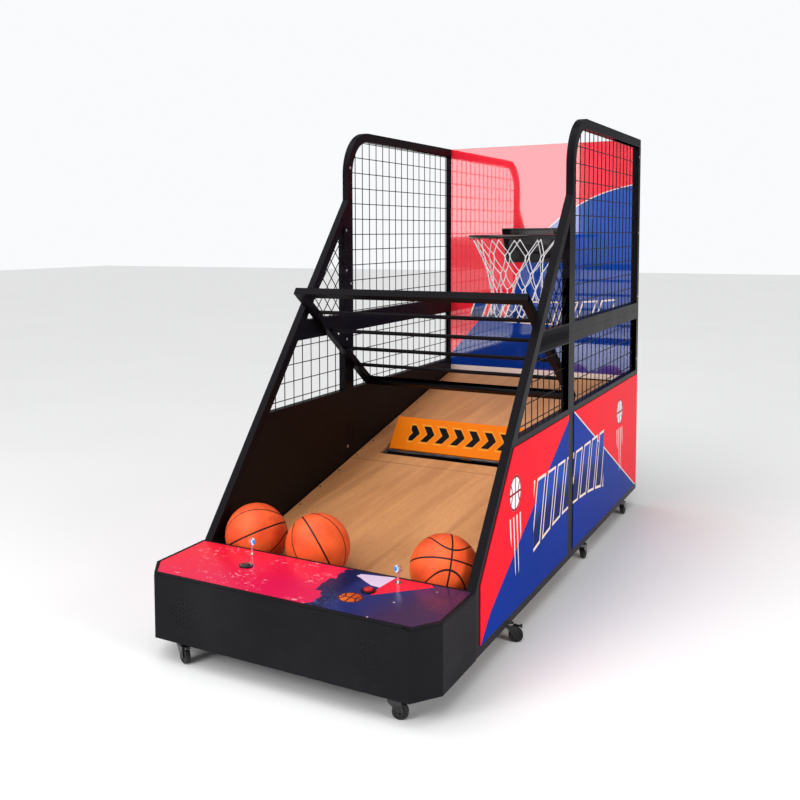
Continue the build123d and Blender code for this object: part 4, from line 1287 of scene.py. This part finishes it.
@dataclass
class Target:
    """Backboard, rim, bracket and knotted net."""

    centre: Point = (0.0, from_front(2.270), 1.385)
    cords: int = 12
    top_drop: float = 0.017
    rows: tuple[float, ...] = (0.105, 0.192, 0.270, 0.340)
    foot_drop: float = 0.398
    cord_radius: float = 0.0023
    knot_radius: float = 0.0042
    twist: float = 0.009
    lap_turn: float = 0.014             # half the turn by which crossing cords pass each other
    sag: float = 0.009
    top_sag: float = 0.005
    uneven: Flat = (0.05, 0.006)        # how much a knot wanders, as a turn and as a drop
    profile: tuple[Flat, ...] = ((0.0, 0.226), (0.05, 0.203), (0.10, 0.178), (0.18, 0.147), (0.29, 0.1255),
                                 (0.40, 0.130))
    seed: int = 7

    def sleeve(self, drop: float) -> float:
        """Radius of the hanging net at a drop below the rim."""
        for (d0, r0), (d1, r1) in zip(self.profile, self.profile[1:]):
            if drop <= d1:
                return r0 + (r1 - r0) * (drop - d0) / (d1 - d0)
        return self.profile[-1][1]

    def on_net(self, turn: float, drop: float, inwards: float = 0.0) -> Point:
        """Point of the net at a turn around the hoop and a drop below it."""
        radius = self.sleeve(drop) - inwards
        return (self.centre[0] + radius * math.cos(turn), self.centre[1] + radius * math.sin(turn),
                self.centre[2] - drop)

    def net(self, shop: Workshop, rods: Recipe, knots: Recipe) -> None:
        """Hang the net: cords that cross at knots, in rows of six-sided meshes."""
        draw = random.Random(self.seed)
        step = 2 * math.pi / self.cords
        levels = [self.top_drop, *self.rows, self.foot_drop]
        grid = []
        for row, drop in enumerate(levels):
            loose = 0.0 if row == 0 else 1.0
            spin, fall = self.uneven
            grid.append([(step * (index + 0.5 * (row % 2) + 0.5) + draw.uniform(-spin, spin) * loose,
                          drop + draw.uniform(-fall, fall) * loose) for index in range(self.cords)])
        points: list[Point] = []
        edges: list[tuple[int, int]] = []
        ties: list[Point] = []

        def strand(first: tuple[float, float], second: tuple[float, float], sag: float) -> None:
            """One cord between two places, hanging slightly inwards."""
            pieces = 6
            for index in range(pieces + 1):
                share = index / pieces
                turn = first[0] + (second[0] - first[0]) * share
                drop = first[1] + (second[1] - first[1]) * share
                bow = share * (1 - share)
                points.append(self.on_net(turn, drop + sag * 4 * bow, 0.004 * bow))
                if index:
                    edges.append((len(points) - 2, len(points) - 1))

        for row in range(len(levels) - 1):
            for index, (turn, drop) in enumerate(grid[row]):
                start = (turn, drop + (self.twist if row else 0.0))
                for way in (0, 1):
                    other = index + way - (0 if row % 2 else 1)
                    target_turn, target_drop = grid[row + 1][other % self.cords]
                    lap = 2 * math.pi * (other // self.cords)
                    reach = self.twist if row + 1 < len(levels) - 1 else 0.0
                    strand(start, (target_turn + lap, target_drop - reach), self.sag if row else self.top_sag)
        for row in range(1, len(levels) - 1):
            for turn, drop in grid[row]:
                for apart in (-self.lap_turn, self.lap_turn):
                    strand((turn + apart, drop - self.twist), (turn - apart, drop + self.twist), 0.0)
                ties += [self.on_net(turn, drop - self.twist), self.on_net(turn, drop + self.twist)]
        for turn, drop in grid[0]:
            ties.append(self.on_net(turn, drop + 0.004))
        cord = shop.finish(NetCord())
        net = rods.apply(guide("net_guide", points, edges), "net_cords",
                         {"Radius": self.cord_radius, "Sides": 7, "Material": cord})
        shop.stand_in(net, "machine", "net_cord", "net")
        tie = knots.apply(guide("knot_guide", ties), "net_knots",
                          {"Radius": self.knot_radius, "Material": cord})
        shop.stand_in(tie, "machine", "net_cord")

    def build(self, shop: Workshop, rods: Recipe, knots: Recipe) -> None:
        """Dress the board and the rim, and hang the net."""
        shop.rounded("backboard", BoardPrint(), 0.0010)
        shop.rounded("hoop_rim", GLOSS_BLACK, 0.0012, 0.006, 2, 60.0)
        shop.rounded("rim_bracket", GLOSS_BLACK, 0.0012)
        shop.rounded("hoop_sensor", BLACK_PLASTIC, 0.0015)
        self.net(shop, rods, knots)


@dataclass
class ControlBox:
    """Sheet-metal box with its printed lid, locks, keys, buttons and speakers."""

    def build(self, shop: Workshop) -> None:
        """Dress the box and what it carries."""
        shop.rounded("control_box_shell", BOX_PAINT, 0.0022, 0.060)
        shop.rounded("control_box_lid", BOX_PAINT, 0.0010, 0.060)
        shop.keep("lid_print", LidPrint())
        shop.keep("lid_hinge_fixed", BOX_PAINT)
        shop.keep("lid_hinge_moving", BOX_PAINT)
        shop.rounded("lock_barrels", CHROME, 0.0006)
        shop.rounded("button_bezels", BezelFinish(), 0.0008)
        shop.rounded("red_button_cap", BUTTON_RED, 0.0006)
        shop.rounded("start_button_cap", BUTTON_DARK, 0.0006)
        for name in ("key_left", "key_right"):
            low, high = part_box(name)
            shop.rounded(name, KeyFinish(name + "_finish", (low.x + high.x) / 2), 0.0004)
        shop.rounded("speakers", BLACK_PLASTIC, 0.0008)
        shop.keep("control_board", CircuitBoard())
        shop.rounded("power_supply", ALUMINIUM, 0.0010)
        shop.rounded("mains_inlet", BLACK_PLASTIC, 0.0008)


@dataclass
class Casters:
    """Eight swivel casters."""

    rows: tuple[str, ...] = ("box", "front", "middle", "rear")

    def build(self, shop: Workshop) -> None:
        """Dress the casters."""
        shop.rounded("caster_stems", ZINC, 0.0006)
        for row in self.rows:
            for side in Side:
                place = f"{row}_{side.name.lower()}"
                shop.rounded("caster_fork_" + place, CASTER_BLACK, 0.0007)
                shop.rounded("caster_wheel_" + place, TYRE, 0.0006)


@dataclass
class Balls:
    """Three basketballs with grooved seams."""

    radius: float = 0.115
    groove: float = 0.0011
    groove_half: float = 0.036          # half its width, over the radius
    turns: tuple[tuple[str, Point], ...] = (
        ("ball_left", (-1.247, -0.349, 1.017)), ("ball_middle", (-1.153, -0.553, 2.427)),
        ("ball_right", (1.993, -1.041, 1.820)))

    def build(self, shop: Workshop) -> None:
        """Make the balls."""
        for name, turn in self.turns:
            low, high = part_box(name)
            centre = (low + high) / 2
            work = bmesh.new()
            bmesh.ops.create_icosphere(work, subdivisions=6, radius=self.radius)
            spin = Matrix.Identity(3)
            for angle, axis in zip(turn, "XYZ"):
                spin = Matrix.Rotation(angle, 3, axis) @ spin
            for vertex in work.verts:
                local = spin @ vertex.co.normalized()
                loop = abs(abs(local.x) - WAIST - local.z ** 2 * SPREAD) * 0.85
                near = min(abs(local.x), abs(local.z), loop)
                share = max(0.0, 1.0 - near / self.groove_half)
                vertex.co *= 1.0 - self.groove / self.radius * share * share * (3 - 2 * share)
                vertex.co += centre
            mesh = bpy.data.meshes.new(name + "_rubber")
            work.to_mesh(mesh)
            work.free()
            mesh.shade_smooth()
            mesh.materials.append(shop.finish(BallRubber("rubber_" + name, tuple(centre), turn)))
            shop.stand_in(linked(name + "_rubber", mesh), name, "ball_rubber", name)


@dataclass
class Fasteners:
    """Bright button-head bolts in place of the plain bolt heads."""

    tube_middle: float = 0.515          # bolts further out face away from the machine

    def build(self, shop: Workshop, screws: Recipe) -> None:
        """Set the bolts."""
        points: list[Point] = []
        facing: list[Point] = []
        for low, high in shop.islands("frame_bolts"):
            middle = (low + high) / 2
            outside = abs(middle.x) > self.tube_middle
            away = math.copysign(1.0, middle.x) * (1.0 if outside else -1.0)
            seat = (low.x if away > 0 else high.x)
            points.append((seat, middle.y, middle.z))
            facing.append((away, 0.0, 0.0))
        piece = screws.apply(guide("bolt_guide", points, (), facing), "frame_bolt_heads", {
            "Radius": 0.0058, "Height": 0.0030, "Recess": 0.0026, "Washer": 0.0072,
            "Material": shop.finish(ZINC)})
        shop.stand_in(piece, "machine", "zinc", "frame_bolts")


# ---------------------------------------------------------------- studio
@dataclass(frozen=True)
class Studio:
    """Camera, floor and lights."""

    place: Point = (1.5582, -3.6542, 1.4024)
    yaw: float = math.radians(29.956)
    pitch: float = math.radians(4.003)
    roll: float = math.radians(-0.4164)
    lens: float = 42.55
    shift: Flat = (0.0890, -0.1243)
    ambient: float = 0.30
    sky_energy: float = 2.35
    backdrop: float = 0.98
    floor_half: float = 30.0

    def camera(self) -> None:
        """Set up the camera."""
        level = math.cos(self.pitch)
        ahead = Vector((-math.sin(self.yaw) * level, math.cos(self.yaw) * level, -math.sin(self.pitch)))
        right = Vector((math.cos(self.yaw), math.sin(self.yaw), 0.0))
        up = right.cross(ahead)
        rolled_right = right * math.cos(self.roll) + up * math.sin(self.roll)
        rolled_up = up * math.cos(self.roll) - right * math.sin(self.roll)
        data = bpy.data.cameras.new("camera")
        data.lens = self.lens
        data.sensor_width = 36.0
        data.shift_x, data.shift_y = self.shift
        data.clip_end = 100.0
        camera = bpy.data.objects.new("camera", data)
        turn = Matrix((rolled_right, rolled_up, -ahead)).transposed().to_4x4()
        camera.matrix_world = Matrix.Translation(self.place) @ turn
        bpy.context.scene.collection.objects.link(camera)
        bpy.context.scene.camera = camera

    def lamp(self, name: str, place: Point, aim: Point, size: Flat, power: float) -> None:
        """A rectangular soft light that points at a place."""
        data = bpy.data.lights.new(name, "AREA")
        data.shape = "RECTANGLE"
        data.size, data.size_y = size
        data.energy = power
        lamp = bpy.data.objects.new(name, data)
        lamp.visible_glossy = False
        lamp.matrix_world = Matrix.Translation(place) @ (
            (Vector(aim) - Vector(place)).to_track_quat("-Z", "Y").to_matrix().to_4x4())
        bpy.context.scene.collection.objects.link(lamp)

    def build(self) -> None:
        """Set up the whole studio."""
        self.camera()
        self.floor()
        self.surroundings()
        self.sky()
        self.lamp("front", (-2.2, -6.2, 2.8), (0.0, 0.2, 0.6), (2.6, 2.6), 190.0)
        self.lamp("right", (5.2, -2.0, 2.2), (0.5, 0.2, 0.5), (2.4, 2.4), 150.0)
        self.window("window", (-4.6, -2.1), (1.35, 3.2), -7.3, 3.3)

    def floor(self) -> None:
        """A plain pale floor."""
        half = self.floor_half
        mesh = bpy.data.meshes.new("floor")
        mesh.from_pydata([(-half, -half, 0.0), (half, -half, 0.0), (half, half, 0.0), (-half, half, 0.0)],
                         [], [(0, 1, 2, 3)])
        floor = linked("floor", mesh)
        paint = Paint("floor_pale")
        base = paint.mix(paint.noise(0.8, 2.0), (0.80, 0.80, 0.80), (0.84, 0.84, 0.84))
        mesh.materials.append(paint.surface(Base_Color=base, Roughness=0.75, Specular_IOR_Level=0.2))
        floor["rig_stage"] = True

    def sky(self) -> None:
        """Wide soft light from above."""
        data = bpy.data.lights.new("sky", "SUN")
        data.energy = self.sky_energy
        data.angle = math.radians(75.0)
        lamp = bpy.data.objects.new("sky", data)
        lamp.matrix_world = Vector((0.25, 0.42, -1.0)).to_track_quat("-Z", "Y").to_matrix().to_4x4()
        bpy.context.scene.collection.objects.link(lamp)

    def window(self, name: str, across: Flat, up: Flat, y: float, glow: float) -> None:
        """A bright window behind the camera that only shows in the gloss of the backboard."""
        mesh = bpy.data.meshes.new(name)
        (left, right), (low, high) = across, up
        mesh.from_pydata([(left, y, low), (right, y, low), (right, y, high), (left, y, high)],
                         [], [(0, 1, 2, 3)])
        paint = Paint(name + "_glow")
        mesh.materials.append(paint.surface(Base_Color=(0.0, 0.0, 0.0), Emission_Color=(1.0, 0.98, 1.0),
                                            Emission_Strength=glow))
        pane = linked(name, mesh)
        pane.visible_camera = False
        pane.visible_diffuse = False
        pane.visible_shadow = False
        pane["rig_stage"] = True

    def surroundings(self) -> None:
        """White surroundings that light the machine only softly, and plain colour management."""
        world = bpy.data.worlds.new("studio")
        world.use_nodes = True
        tree = world.node_tree
        path = tree.nodes.new("ShaderNodeLightPath")
        strength = tree.nodes.new("ShaderNodeMapRange")
        strength.inputs[3].default_value = self.ambient
        strength.inputs[4].default_value = self.backdrop
        tree.links.new(path.outputs["Is Camera Ray"], strength.inputs[0])
        background = tree.nodes["Background"]
        background.inputs[0].default_value = (0.97, 0.98, 1.0, 1.0)
        tree.links.new(strength.outputs[0], background.inputs[1])
        bpy.context.scene.world = world
        bpy.context.scene.view_settings.view_transform = "Standard"


def main() -> None:
    """Build every sub-assembly around the frame."""
    logging.basicConfig(level=logging.INFO, format="%(name)s: %(message)s")
    shop = Workshop()
    Studio().build()
    rods = rod_recipe()
    knots = knot_recipe()
    screws = screw_recipe()
    SideFrames().build(shop)
    WireMesh().build(shop, rods)
    BallRamp().build(shop, screws)
    BallGate().build(shop)
    Target().build(shop, rods, knots)
    ControlBox().build(shop)
    Casters().build(shop)
    Balls().build(shop)
    Fasteners().build(shop, screws)


if __name__ == "__main__":
    main()
